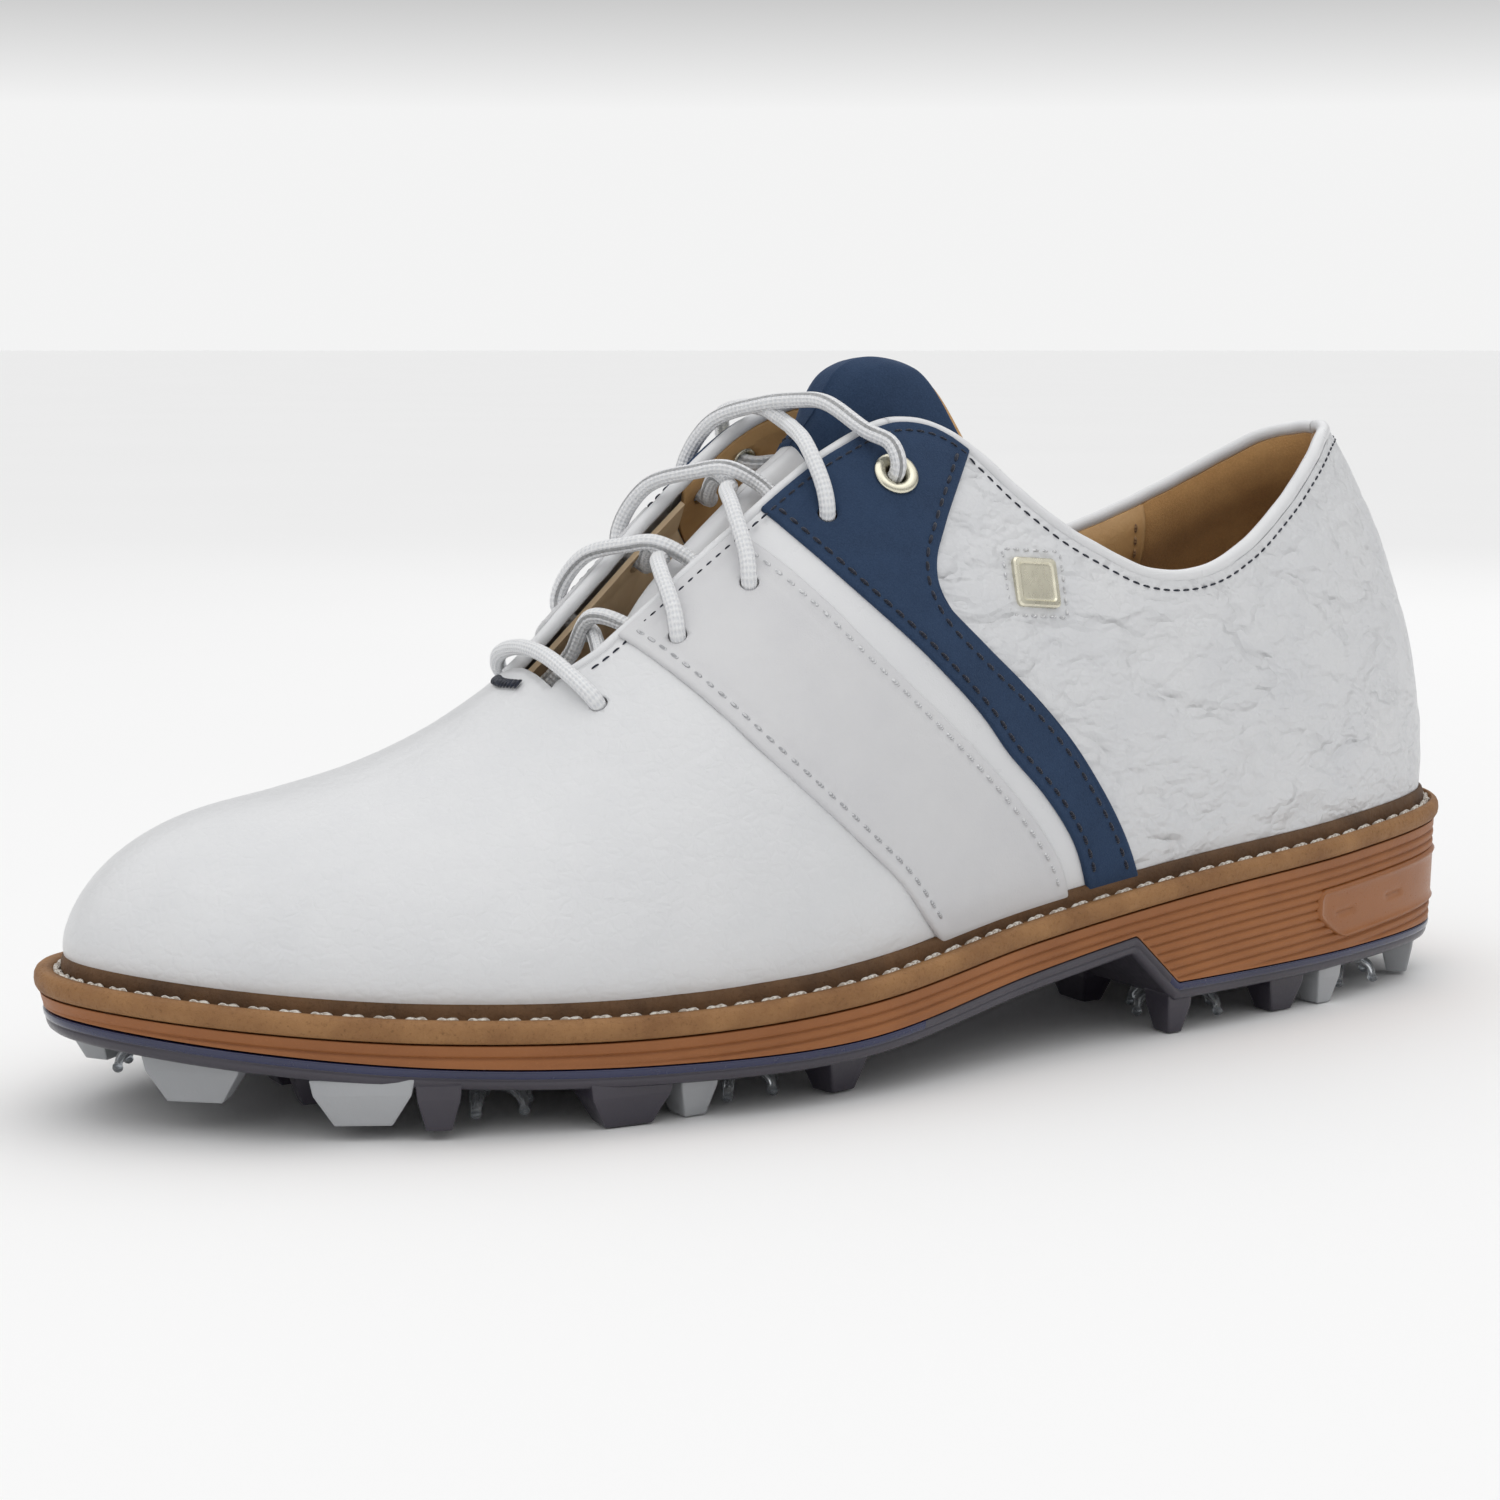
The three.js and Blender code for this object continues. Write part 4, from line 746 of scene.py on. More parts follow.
def tpu_material(name, colour, light, roughness=0.22, frost=0.0):
    p = Paint(name, Coat_Weight=0.25, Coat_Roughness=0.12, Specular_IOR_Level=0.6)
    cloud = p.noise(30, 3)
    p.colour(p.blend(p.ramp(cloud, 0.3, 0.7), colour, light))
    p.rough(p.ramp(p.noise(900, 3), 0.3, 0.7, roughness, roughness + 0.12))
    p.bump(p.noise(1300, 3, 0.6), 0.00003 + frost)
    return p.material


def clear_material(name, tint, roughness, transmission):
    p = Paint(name, Transmission_Weight=transmission, IOR=1.46, Specular_IOR_Level=0.5)
    flow = p.noise(260, 3)
    p.colour(p.blend(p.ramp(flow, 0.3, 0.7), tint, tuple(c * 0.9 for c in tint)))
    p.rough(p.ramp(p.noise(700, 3), 0.3, 0.7, roughness, roughness + 0.12))
    p.bump(flow, 0.00012)
    return p.material


def metal_material(name, colour, roughness):
    p = Paint(name, Metallic=1.0)
    brushed = p.noise(900, 4, 0.6, p.stretched((1, 1, 0.1)))
    p.colour(p.blend(p.ramp(p.noise(200, 3), 0.3, 0.7), colour, tuple(c * 0.82 for c in colour)))
    p.rough(p.ramp(brushed, 0.3, 0.7, roughness, roughness + 0.16))
    p.bump(brushed, 0.00003)
    return p.material


def thread_material(name, colour, shade):
    p = Paint(name, Sheen_Weight=0.2, Specular_IOR_Level=0.35)
    twist = p.node("TexWave", {"Vector": p.coordinates, "Scale": 900.0, "Distortion": 2.0, "Detail": 2.0},
                   bands_direction="DIAGONAL").outputs["Color"]
    # The colour runs darker in the bands of the twist: painted shade in the grooves between the plies.
    p.colour(p.blend(p.ramp(twist, 0.2, 0.8), shade, colour))
    p.rough(p.ramp(p.noise(800, 3), 0.3, 0.7, 0.5, 0.7))
    p.bump(twist, 0.0001)
    return p.material


def braid_material():
    """A round waxed braid: two families of strands cross on the tube's own uv."""
    p = Paint("lace_cotton", Sheen_Weight=0.3, Sheen_Roughness=0.4, Specular_IOR_Level=0.4)
    uv = p.node("UVMap").outputs[0]
    parts = p.node("SeparateXYZ", {0: uv})
    strands = 6.0
    pitch = 0.5
    around = p.math("MULTIPLY", parts.outputs[0], strands)
    along = p.math("MULTIPLY", parts.outputs[1], pitch)
    waves = []
    for sign in ("ADD", "SUBTRACT"):
        phase = p.math("MULTIPLY", p.math(sign, around, along), 2 * math.pi)
        waves.append(p.math("SINE", phase))
    plait = p.math("MULTIPLY", waves[0], waves[1])
    relief = p.ramp(plait, -0.75, 0.75)
    fibre = p.noise(2600, 3, 0.7)
    # The colour is darker where the plait is low: painted shade between the strands.
    p.colour(p.blend(p.ramp(relief, 0.0, 0.55), (0.72, 0.735, 0.76), (0.85, 0.855, 0.865)))
    p.rough(p.ramp(fibre, 0.3, 0.7, 0.5, 0.68))
    p.bump(fibre, 0.00006)
    p.bump(relief, 0.0002)
    return p.material


def granular_material(name, dark, light, scale, relief):
    p = Paint(name, Specular_IOR_Level=0.25)
    grain = p.cells(scale, p.warped(scale * 0.6, 0.4 / scale))
    p.colour(p.blend(p.ramp(grain, 0.1, 0.7), light, dark))
    p.rough(p.ramp(p.noise(scale, 3), 0.3, 0.7, 0.75, 0.95))
    p.bump(grain, relief)
    return p.material


def weave_material(name, dark, light, scale=1500.0):
    p = Paint(name, Sheen_Weight=0.25, Specular_IOR_Level=0.25)
    waves = [p.node("TexWave", {"Vector": p.coordinates, "Scale": scale / 6.0, "Distortion": 0.3},
                    bands_direction=way).outputs["Color"] for way in ("X", "Y")]
    weave = p.math("MAXIMUM", *waves)
    # The colour is darker where the weave is low: painted shade between the yarns.
    p.colour(p.blend(p.ramp(weave, 0.2, 0.9), dark, light))
    p.rough(p.ramp(p.noise(300, 3), 0.3, 0.7, 0.75, 0.92))
    p.bump(weave, 0.00015)
    return p.material


VAMP_WHITE = leather_material("vamp_leather", (0.71, 0.715, 0.725), (0.68, 0.687, 0.70), 0.34, 0.00004,
                              pebble=0.00004, crease=0.00008, wax=0.15)
QUARTER_WHITE = leather_material("quarter_leather", (0.70, 0.705, 0.715), (0.66, 0.668, 0.685), 0.38, 0.00005,
                                 pebble=0.00006, crease=0.00075, wax=0.15)
SMOOTH_WHITE = leather_material("smooth_leather", (0.73, 0.735, 0.745), (0.70, 0.705, 0.72), 0.32, 0.00003, wax=0.2)
SADDLE_GREY = leather_material("saddle_leather", (0.645, 0.645, 0.655), (0.61, 0.61, 0.625), 0.5, 0.00005,
                               crease=0.00005)
NAVY = nubuck_material()
TAN = leather_material("tan_lining", (0.60, 0.365, 0.16), (0.52, 0.30, 0.12), 0.5, 0.00008, pebble=0.00003)
SUEDE = suede_material("suede_lining", (0.36, 0.19, 0.07), (0.50, 0.285, 0.115))
FELT = suede_material("raw_edge", (0.42, 0.235, 0.09), (0.60, 0.365, 0.165))
WELT = welt_material("welt_leather", (0.22, 0.10, 0.034), (0.36, 0.185, 0.07))
BEAD = welt_material("bead_leather", (0.075, 0.036, 0.014), (0.16, 0.08, 0.032))
RUBBER = rubber_material("midsole_rubber", 0.42)
PANEL_RUBBER = rubber_material("panel_rubber", 0.26)
TREAD_NAVY = tpu_material("tread_navy", (0.008, 0.011, 0.048), (0.014, 0.019, 0.075), 0.16)
TREAD_PLUM = tpu_material("tread_plum", (0.024, 0.020, 0.032), (0.040, 0.034, 0.050), 0.3, 0.00002)
LUG_SILVER = tpu_material("lug_silver", (0.33, 0.34, 0.355), (0.41, 0.42, 0.435), 0.38, 0.00003)
CLEAT_CLEAR = clear_material("cleat_plastic", (0.80, 0.83, 0.86), 0.08, 0.9)
AGLET_CLEAR = clear_material("aglet_plastic", (0.92, 0.93, 0.95), 0.1, 0.75)
SOCKET = tpu_material("receptacle_plastic", (0.020, 0.022, 0.030), (0.035, 0.037, 0.047), 0.35)
BRASS = metal_material("pale_brass", (0.80, 0.765, 0.62), 0.2)
STEEL = metal_material("shank_steel", (0.56, 0.57, 0.58), 0.3)
# Each thread's second colour is the painted shade in the grooves of its twist.
WHITE_THREAD = thread_material("white_thread", (0.74, 0.745, 0.755), (0.5, 0.505, 0.52))
GREY_THREAD = thread_material("grey_thread", (0.60, 0.605, 0.62), (0.36, 0.365, 0.38))
NAVY_THREAD = thread_material("navy_thread", (0.010, 0.015, 0.034), (0.004, 0.006, 0.015))
TAN_THREAD = thread_material("tan_thread", (0.30, 0.17, 0.07), (0.17, 0.09, 0.04))
WELT_THREAD = thread_material("welt_thread", (0.78, 0.745, 0.68), (0.42, 0.36, 0.3))
LACE = braid_material()
CORK = granular_material("cork", (0.22, 0.12, 0.05), (0.42, 0.27, 0.13), 420.0, 0.0004)
BOARD = granular_material("fibre_board", (0.33, 0.23, 0.13), (0.47, 0.35, 0.21), 900.0, 0.0001)
FOAM = granular_material("soft_foam", (0.55, 0.49, 0.37), (0.78, 0.72, 0.6), 1300.0, 0.0003)
# The footbed's dark colour is the painted shade between its yarns.
FOOTBED = weave_material("footbed_fabric", (0.030, 0.038, 0.062), (0.075, 0.09, 0.135))

# ---- Camera and lacing -----------------------------------------------------------------------


def make_camera():
    """A long lens from the outer side, ahead of the ball and a little above the shoe."""
    turn, rise = math.radians(149.755), math.radians(7.871)
    distance, lens = 594.4, 72.98
    back = np.array([math.sin(turn) * math.cos(rise), -math.cos(turn) * math.cos(rise), math.sin(rise)])
    right = np.array([math.cos(turn), math.sin(turn), 0.0])
    up = np.cross(back, right)
    target = np.array([150.0, 0.0, 60.0]) - 13.418 * right - 4.222 * up
    data = bpy.data.cameras.new("camera")
    data.lens = lens
    data.sensor_width = 36.0
    data.clip_start, data.clip_end = 0.01, 20.0
    camera = bpy.data.objects.new("camera", data)
    camera.location = Vector(to_row(target + back * distance))
    camera.rotation_mode = "QUATERNION"
    camera.rotation_quaternion = Vector(-back).to_track_quat("-Z", "Y")
    bpy.context.scene.collection.objects.link(camera)
    bpy.context.scene.camera = camera


# The tails run down the inside of the wall, then forwards over the footbed beside it.
WALL_TAIL = {
    "outer": [(137, 0.46, -6.4), (128, 0.53, -6.4), (119, 0.61, -6.4), (110, 0.7, -6.4), (102, 0.79, -6.4)],
    "inner": [(147, -0.36, -6.4), (137, -0.43, -6.4), (128, -0.52, -6.4), (119, -0.6, -6.4), (110, -0.68, -6.4),
              (102, -0.77, -6.4)],
}
FLOOR_TAIL = {
    "outer": [(97, 31), (101, 29), (111, 29.5), (124, 31), (138, 33), (152, 36), (166, 38), (178, 38.5), (190, 38)],
    "inner": [(97, -20.5), (101, -19), (111, -20), (124, -21.5), (138, -24), (152, -28), (166, -31), (178, -33),
              (190, -34)],
}
TAIL_LIFT = 0.6
AGLET_LENGTH = 22.0


def lace_route():
    """The route's points: up from the outer tail, down through the rows to the bar, and back up."""

    def hole_arch(side, row):
        return LACE_HOLES[side][row][1]

    def edge_arch(side, row):
        place = float(place_at(side, LACE_HOLES[side][row][0]))
        height = top_edge(side)(place if side > 0 else TURNS - place)
        return side * (1 - math.asin(height) / (math.pi / 2))

    def climb(side, row, crossing):
        low, high = LACE_HOLES[side][row][0], LACE_HOLES[-side][row + 1][0]
        hole, edge = hole_arch(side, row), edge_arch(side, row)
        far_edge, far_hole = edge_arch(-side, row + 1), hole_arch(-side, row + 1)
        middle = (edge + far_edge) / 2
        return [
            (low, hole, -4), (low, hole, 0.8), (mix(low, high, 0.1), mix(hole, edge, 0.35), 3.1),
            (mix(low, high, 0.26), mix(edge, middle, 0.16), 3.4),
            (mix(low, high, 0.4), mix(edge, middle, 0.6), mix(2.5, crossing, 0.55)),
            (mix(low, high, 0.52), middle, crossing),
            (mix(low, high, 0.66), mix(middle, far_edge, 0.5), -4.2 if side > 0 else -5.9),
            (mix(low, high, 0.78), far_edge, -6.3), (mix(low, high, 0.92), mix(far_edge, far_hole, 0.6), -6.7),
            (high, far_hole, -6.2),
        ]

    def last_climb(side, crossing):
        low, high = LACE_HOLES[side][3][0], LACE_HOLES[-side][4][0]
        hole, edge = hole_arch(side, 3), edge_arch(side, 3)
        far_edge, far_hole = edge_arch(-side, 4), hole_arch(-side, 4)
        middle = (edge + far_edge) / 2
        return [
            (low, hole, -4), (low, hole, 0.8), (mix(low, high, 0.1), mix(hole, edge, 0.35), 3.1),
            (mix(low, high, 0.24), mix(edge, middle, 0.16), 3.4),
            (mix(low, high, 0.4), mix(edge, middle, 0.6), mix(2.7, crossing, 0.6)),
            (mix(low, high, 0.54), middle, crossing),
            (mix(low, high, 0.68), mix(middle, far_edge, 0.5), mix(2.7, crossing, 0.4)),
            (mix(low, high, 0.84), far_edge, 4.6 if side > 0 else 3.4),
            (mix(low, high, 0.97), mix(far_edge, far_hole, 0.5), 4.4),
            (high, far_hole + side * 0.013, 3.6), (high, far_hole, 1.6), (high, far_hole, -5),
            (high - 2, far_hole * 1.04, -6.6),
        ]

    def base_cross(side, crossing):
        low, high = LACE_HOLES[side][0][0], LACE_HOLES[-side][1][0]
        return [
            (low, hole_arch(side, 0), -3.5), (mix(low, high, 0.05), hole_arch(side, 0) * 0.95, -6.6),
            (mix(low, high, 0.27), hole_arch(side, 0) * 0.55, -7), (mix(low, high, 0.5), 0, crossing),
            (mix(low, high, 0.7), hole_arch(-side, 1) * 0.5, -6.8),
            (mix(low, high, 0.92), hole_arch(-side, 1) * 0.92, -6.8), (high, hole_arch(-side, 1), -6.3),
        ]

    def path(side):
        return (base_cross(side, -6.9 if side > 0 else -3.4) + climb(-side, 1, -2.2 if side > 0 else -5.7)
                + climb(side, 2, -5.7 if side > 0 else -2.2) + last_climb(-side, -1.2 if side > 0 else -4.7))

    bar = [
        (208.2, hole_arch(1, 0) * 0.98, 0.6), (209, hole_arch(1, 0) * 0.78, 2.6), (209.6, 0.1, 2.6),
        (209.6, -0.1, 2.6), (209, hole_arch(-1, 0) * 0.76, 2.6), (208.2, hole_arch(-1, 0) * 0.98, 0.6),
    ]
    over = np.array([arch_point(*p) for p in path(1)[::-1] + bar + path(-1)])

    def tail(word):
        wall = [arch_point(*p) for p in WALL_TAIL[word]]
        floor = [np.array([x, y, float(welt_bottom(x)) + FOOTBED_TOP + LACE_RADIUS + TAIL_LIFT])
                 for x, y in FLOOR_TAIL[word]]
        return np.array(wall + floor)

    return np.concatenate([tail("outer")[::-1], over, tail("inner")])


def make_lace():
    route = lace_route()
    line = even_route(smooth_route(route, 8), 0.9)
    lace = tube("lace", line, LACE_RADIUS * 0.96, LACE, sides=14)
    for word, end, before in (("outer", route[0], route[1]), ("inner", route[-1], route[-2])):
        away = unit(end - before)
        start = end - away * 1.5
        at = np.linspace(0, AGLET_LENGTH + 1.6, 40)
        along = start + away * at[:, None]
        radius = 1.5 - 0.25 * smoothstep(at, 2, 4) - 0.35 * smoothstep(at, AGLET_LENGTH - 3, AGLET_LENGTH + 1.6)
        pinch = 0.12 * np.exp(-((at - 5) / 0.8) ** 2) + 0.12 * np.exp(-((at - 9) / 0.8) ** 2)
        aglet = tube(f"aglet_{word}", along, radius - pinch, AGLET_CLEAR, sides=20)
        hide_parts(f"aglet_{word}")
    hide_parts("lace")


# ---- Upper -----------------------------------------------------------------------------------

OVERLAP = 0.11


def in_front(seam, step):
    return lambda h: seam(h) + step


def hole_places(side, first, last):
    holes = LACE_HOLES[side][first - 1:last]
    centres = np.array([arch_point(x, arch, -1.5) for x, arch in holes])
    axes = np.array([arch_normal(x, arch) for x, arch in holes])
    return centres, axes


def fold_relief(points, distance, size, scale, stretch=(1.0, 1.0, 1.0), seed=0.0):
    """Soft folds in the leather, in millimetres, fading at its sewn edges."""
    flat = points.reshape(-1, 3)
    out = np.empty(len(flat))
    for k, (x, y, z) in enumerate(flat):
        at = Vector((x * stretch[0] / scale + seed, y * stretch[1] / scale, z * stretch[2] / scale))
        at = at + 0.55 * noise.noise_vector(at * 0.7)
        ridge = noise.ridged_multi_fractal(at, 0.9, 2.1, 3, 1.0, 2.0)
        out[k] = -min(2.4, ridge)
    out = (out - out.mean()) / 1.2
    return out.reshape(points.shape[:-1]) * size * smoothstep(distance, 0.5, 7.0)


def make_vamp():
    base_angle = math.asin(THROAT_BASE_HEIGHT)
    rows, bridge, columns = 56, 12, 84
    side_angles = base_angle * np.linspace(0, 1, rows + 1)
    bridge_angles = np.linspace(base_angle, math.pi / 2, bridge + 1)[1:]
    angles = np.concatenate([side_angles, bridge_angles])
    throat_x = float(feather_x(THROAT_BASE))
    x = mix(throat_x, FEATHER_TOE_X, np.sin(np.linspace(0, 1, columns + 1) * math.pi / 2))
    parts, faces, tips, start = [], [], [], 0
    for side, _ in SIDES:
        place = place_at(side, x)
        place[-1] = TOE_PLACE
        grid = last_point(place[:, None], np.sin(angles)[None, :])
        parts.append(grid.reshape(-1, 3))
        faces += grid_faces(*grid.shape[:2], start, flip=side < 0).tolist()
        start += grid.shape[0] * grid.shape[1]
        tips.append(np.zeros(grid.shape[0] * grid.shape[1]))
        base = float(place_at(side, throat_x))
        base_s = base if side > 0 else TURNS - base
        top = raised_top(side, 1.2)
        rear = in_front(vamp_seam, -OVERLAP)
        rear_top = seam_top(rear, top)
        w = np.linspace(0, 1, 30)[:, None]
        v = np.linspace(0, 1, rows + 1)[None, :]
        rear_s = rear(np.sin(np.arcsin(top(rear_top)) * v))
        s = mix(base_s, rear_s, w)
        top_s = mix(base_s, rear_top, w)
        edge = np.where(w < 1e-6, THROAT_BASE_HEIGHT,
                        mix(THROAT_BASE_HEIGHT, top(top_s), smoothstep(w, 0, 0.12)))
        height = np.sin(np.arcsin(edge) * v)
        wing = last_point(side_place(side, s), height)
        parts.append(wing.reshape(-1, 3))
        faces += grid_faces(*wing.shape[:2], start, flip=side > 0).tolist()
        start += wing.shape[0] * wing.shape[1]
        tips.append(np.broadcast_to(v, s.shape).ravel() * 0)
    points = np.concatenate(parts)
    points, faces, _ = weld(points, faces, np.concatenate(tips))
    scratch = bpy.data.meshes.new("scratch")
    scratch.from_pydata(points.tolist(), [], faces)
    bm = bmesh.new()
    bm.from_mesh(scratch)
    bmesh.ops.recalc_face_normals(bm, faces=bm.faces)
    bm.verts.ensure_lookup_table()
    highest = max(bm.faces, key=lambda f: f.calc_center_median().z)
    if highest.normal.z < 0:
        bmesh.ops.reverse_faces(bm, faces=bm.faces)
    bm.normal_update()
    bm.to_mesh(scratch)
    bm.free()
    faces = [list(f.vertices) for f in scratch.polygons]
    normals = np.array([v.normal for v in scratch.vertices])
    bpy.data.meshes.remove(scratch)
    side_way = smoothstep(points[:, 0], 262, 205)
    fold = fold_relief(points, np.full(len(points), 9.0), 0.16, 15.0, (0.6, 1.0, 1.0), 3.0) * side_way
    vamp = slab("vamp", points, faces, normals, fold, -1.4, VAMP_WHITE)
    for side, _ in SIDES:
        vamp = cut_holes(vamp, *hole_places(side, 1, 1), 1.75)
    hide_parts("vamp")


def make_side_panels():
    for side, word in SIDES:
        saddle = leather_panel(
            f"saddle_{word}", side, vamp_seam, saddle_rear, (42, 95), (0.95, 0.06), SADDLE_GREY, edge=0.75,
            relief=lambda p, d: 0.1 * np.exp(-((d - 1.6) / 1.1) ** 2) - 0.22 * np.exp(-((d - 4.0) / 0.7) ** 2))
        saddle = cut_holes(saddle, *hole_places(side, 2, 3), 1.8)
        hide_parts(f"saddle_{word}")
        under = leather_panel(
            f"saddle_underlay_{word}", side, in_front(saddle_rear, OVERLAP), in_front(strap_front, -OVERLAP),
            (16, 95), (0.0, -1.4), SMOOTH_WHITE, edge=0.3)
        front_under = leather_panel(
            f"facing_underlay_{word}", side, in_front(vamp_seam, -0.02), in_front(saddle_rear, -0.02),
            (42, 95), (-0.5, -1.5), SMOOTH_WHITE, edge=0.3)
        front_under = cut_holes(front_under, *hole_places(side, 2, 3), 1.8)
        strap = leather_panel(
            f"eyestay_strap_{word}", side, strap_front, strap_rear, (40, 100), (0.95, 0.06), NAVY, edge=0.6,
            relief=lambda p, d: -0.14 * np.exp(-((d - 2.3) / 0.6) ** 2))
        strap = cut_holes(strap, *hole_places(side, 4, 4), 1.9)
        strap = cut_holes(strap, *hole_places(side, 5, 5), 2.5)
        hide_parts(f"eyestay_strap_{word}")
        strap_under = leather_panel(
            f"strap_underlay_{word}", side, in_front(strap_front, -0.02), in_front(strap_rear, 0.02),
            (40, 100), (-0.5, -1.5), SMOOTH_WHITE, edge=0.3)
        strap_under = cut_holes(strap_under, *hole_places(side, 4, 5), 2.4)
        quarter = leather_panel(
            f"quarter_{word}", side, in_front(strap_rear, OVERLAP), lambda h: 0.012 + 0 * h, (150, 80),
            (0.0, -1.4), QUARTER_WHITE, edge=0.35, pitch=1.0,
            relief=lambda p, d: fold_relief(p, d, 0.3, 17.0, (0.6, 1.0, 1.4), side * 2.0))
        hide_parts(f"quarter_{word}")


def make_upper_stitches():
    toe = np.array([330.0, 0.0, 40.0])
    heel = np.array([-60.0, 0.0, 60.0])
    for side, word in SIDES:
        top = top_edge(side)
        rows = [
            ("saddle_front_row", vamp_seam, 2.6, heel, GREY_THREAD, 0.93),
            ("saddle_rear_row", saddle_rear, 2.4, toe, WHITE_THREAD, 0.9),
            ("strap_front_row", strap_front, 2.2, heel, NAVY_THREAD, 0.885),
            ("strap_rear_row", strap_rear, 2.3, toe, NAVY_THREAD, 0.85),
        ]
        for name, seam, distance, towards, thread, high in rows:
            edge = float(min(high, top(seam_top(seam, top))))
            points, normals = seam_line(side, seam, 0.035, edge - 0.008, 160)
            line = shifted(points, normals, distance, 0.86, towards)
            stitch_row(f"{name}_{word}", line, normals, thread)
        signed = np.linspace(0.35, 5.8, 500)
        place = side_place(side, signed)
        edge = last_point(place, top(signed))
        out = last_normal(place, top(signed))
        below = last_point(place, top(signed) - 0.05)
        down = unit(below - edge)
        overlay = smoothstep(signed, 3.9, 3.98) * (1 - smoothstep(signed, 5.52, 5.58)) * 0.9
        line = edge + down * 0.75 + out * (overlay[:, None] - 0.02)
        row = stitch_row(f"topline_row_{word}", line, out, NAVY_THREAD, pitch=2.4, length=1.8, radius=0.2)
        heights = np.linspace(0.06, 0.96, 120)
        place = side_place(side, np.full(120, 0.12))
        row = stitch_row(f"back_seam_row_{word}", last_point(place, heights), last_normal(place, heights),
                         WHITE_THREAD, pitch=2.8, length=2.2, radius=0.3, lift=0.02)


def binding_line(start, end, count):
    """Centreline of the rolled binding between two places given as signed steps from the heel."""
    signed = np.linspace(start, end, count)

    def on_edge(at):
        s = np.abs(at)
        height = np.where(at < 0, top_edge(-1)(s), top_edge(1)(s))
        return np.where(at < 0, TURNS - s, s), height

    along = last_point(*on_edge(signed + 0.03)) - last_point(*on_edge(signed - 0.03))
    normal = last_normal(*on_edge(signed))
    up = unit(np.cross(along, normal))
    return last_point(*on_edge(signed)) + up * 2.2 - normal, up, normal


def make_bindings():
    corner = 4.25

    def crimped(rings, points, lengths, angles):
        wave = 0.05 * np.sin(lengths / 1.35)[:, None] * np.cos(angles)[None, :]
        return points[:, None] + (rings - points[:, None]) * (1 + wave[..., None])

    line, _, _ = binding_line(-corner, corner, 420)
    collar = tube("collar_binding", even_route(line, 0.8), 1.42, SMOOTH_WHITE, sides=18, shape=crimped)
    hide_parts("collar_binding")
    for side, word in SIDES:
        line, _, _ = binding_line(side * (corner + 0.005), side * 5.9, 120)
        edge = tube(f"throat_binding_{word}", even_route(line, 0.8), 1.36, SMOOTH_WHITE, sides=18, shape=crimped)
        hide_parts(f"throat_binding_{word}")


def make_linings():
    for side, word in SIDES:
        top = raised_top(side, 1.6)
        place, h = panel_grid(side, in_front(strap_front, -0.01), lambda h: LINING_SEAM + 0 * h,
                              edge_steps(90, 1.6), edge_steps(80, 1.6), top)
        points, normals = last_point(place, h), last_normal(place, h)
        distance = edge_distance(points, ("front", "rear", "bottom"))
        padding = 1.3 * np.exp(-((distance - 9) / 6) ** 2) * smoothstep(points[..., 0], 125, 105)
        outer = -3.1 + 1.6 * np.clip(1 - distance / 4.5, 0, 1) ** 2
        outer = outer - rounded(edge_distance(points, ("front", "top", "bottom")), 0.5)
        inner = outer - 1.0 - padding
        flat = points.reshape(-1, 3)
        out = normals.reshape(-1, 3)
        faces = orient(flat, grid_faces(*place.shape), out)
        lining = slab(f"quarter_lining_{word}", flat, faces, out, outer.ravel(), inner.ravel(), TAN)
        lining = cut_holes(lining, *hole_places(side, 4, 4), 2.2)
        lining = cut_holes(lining, *hole_places(side, 5, 5), 2.7)
        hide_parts(f"quarter_lining_{word}")
        heights = np.linspace(0.1, float(top_edge(side)(LINING_SEAM)) - 0.02, 90)
        seam_place = side_place(side, np.full(90, LINING_SEAM + 0.05))
        seam_out = last_normal(seam_place, heights)
        distance = np.linalg.norm(last_point(seam_place, heights) - last_point(seam_place, heights)[-1:], axis=-1)
        depth = 4.45 + 1.3 * np.exp(-((distance - 8) / 6) ** 2)
        row = stitch_row(f"lining_seam_row_{word}", last_point(seam_place, heights) - seam_out * depth[:, None],
                         -seam_out, TAN_THREAD, pitch=2.6, length=2.0, radius=0.3, lift=0.1)
    reach = np.linspace(-LINING_SEAM, LINING_SEAM, 121)
    tops = np.where(reach < 0, raised_top(-1, 1.6)(np.abs(reach)), raised_top(1, 1.6)(np.abs(reach)))
    v = edge_steps(90, 1.6)
    h = tops[:, None] * v[None, :]
    place = np.broadcast_to(np.mod(reach, TURNS)[:, None], h.shape)
    points, normals = last_point(place, h), last_normal(place, h)
    distance = edge_distance(points, ("front", "rear", "bottom"))
    padding = 1.3 * np.exp(-((distance - 9) / 6) ** 2)
    outer = -3.1 + 1.6 * np.clip(1 - distance / 4.5, 0, 1) ** 2
    flat, out = points.reshape(-1, 3), normals.reshape(-1, 3)
    faces = orient(flat, grid_faces(*place.shape), out)
    heel = slab("heel_lining", flat, faces, out, outer.ravel(), (outer - 1.15 - padding).ravel(), SUEDE)
    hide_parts("heel_lining")


# ---- Tongue ----------------------------------------------------------------------------------

TONGUE_TOP, TONGUE_SPLIT, TONGUE_BASE = 132.0, 160.0, 214.0
TONGUE_SLANT, TONGUE_SLANT_END = 40.0, 168.0
tongue_centre = table(
    [132, 141, 145, 149, 152, 158, 170, 183, 192, 197, 214],
    [0.6, 1, 0, -2.6, -5, -7.6, -7.7, -7.7, -8, -9.2, -9.4],
)
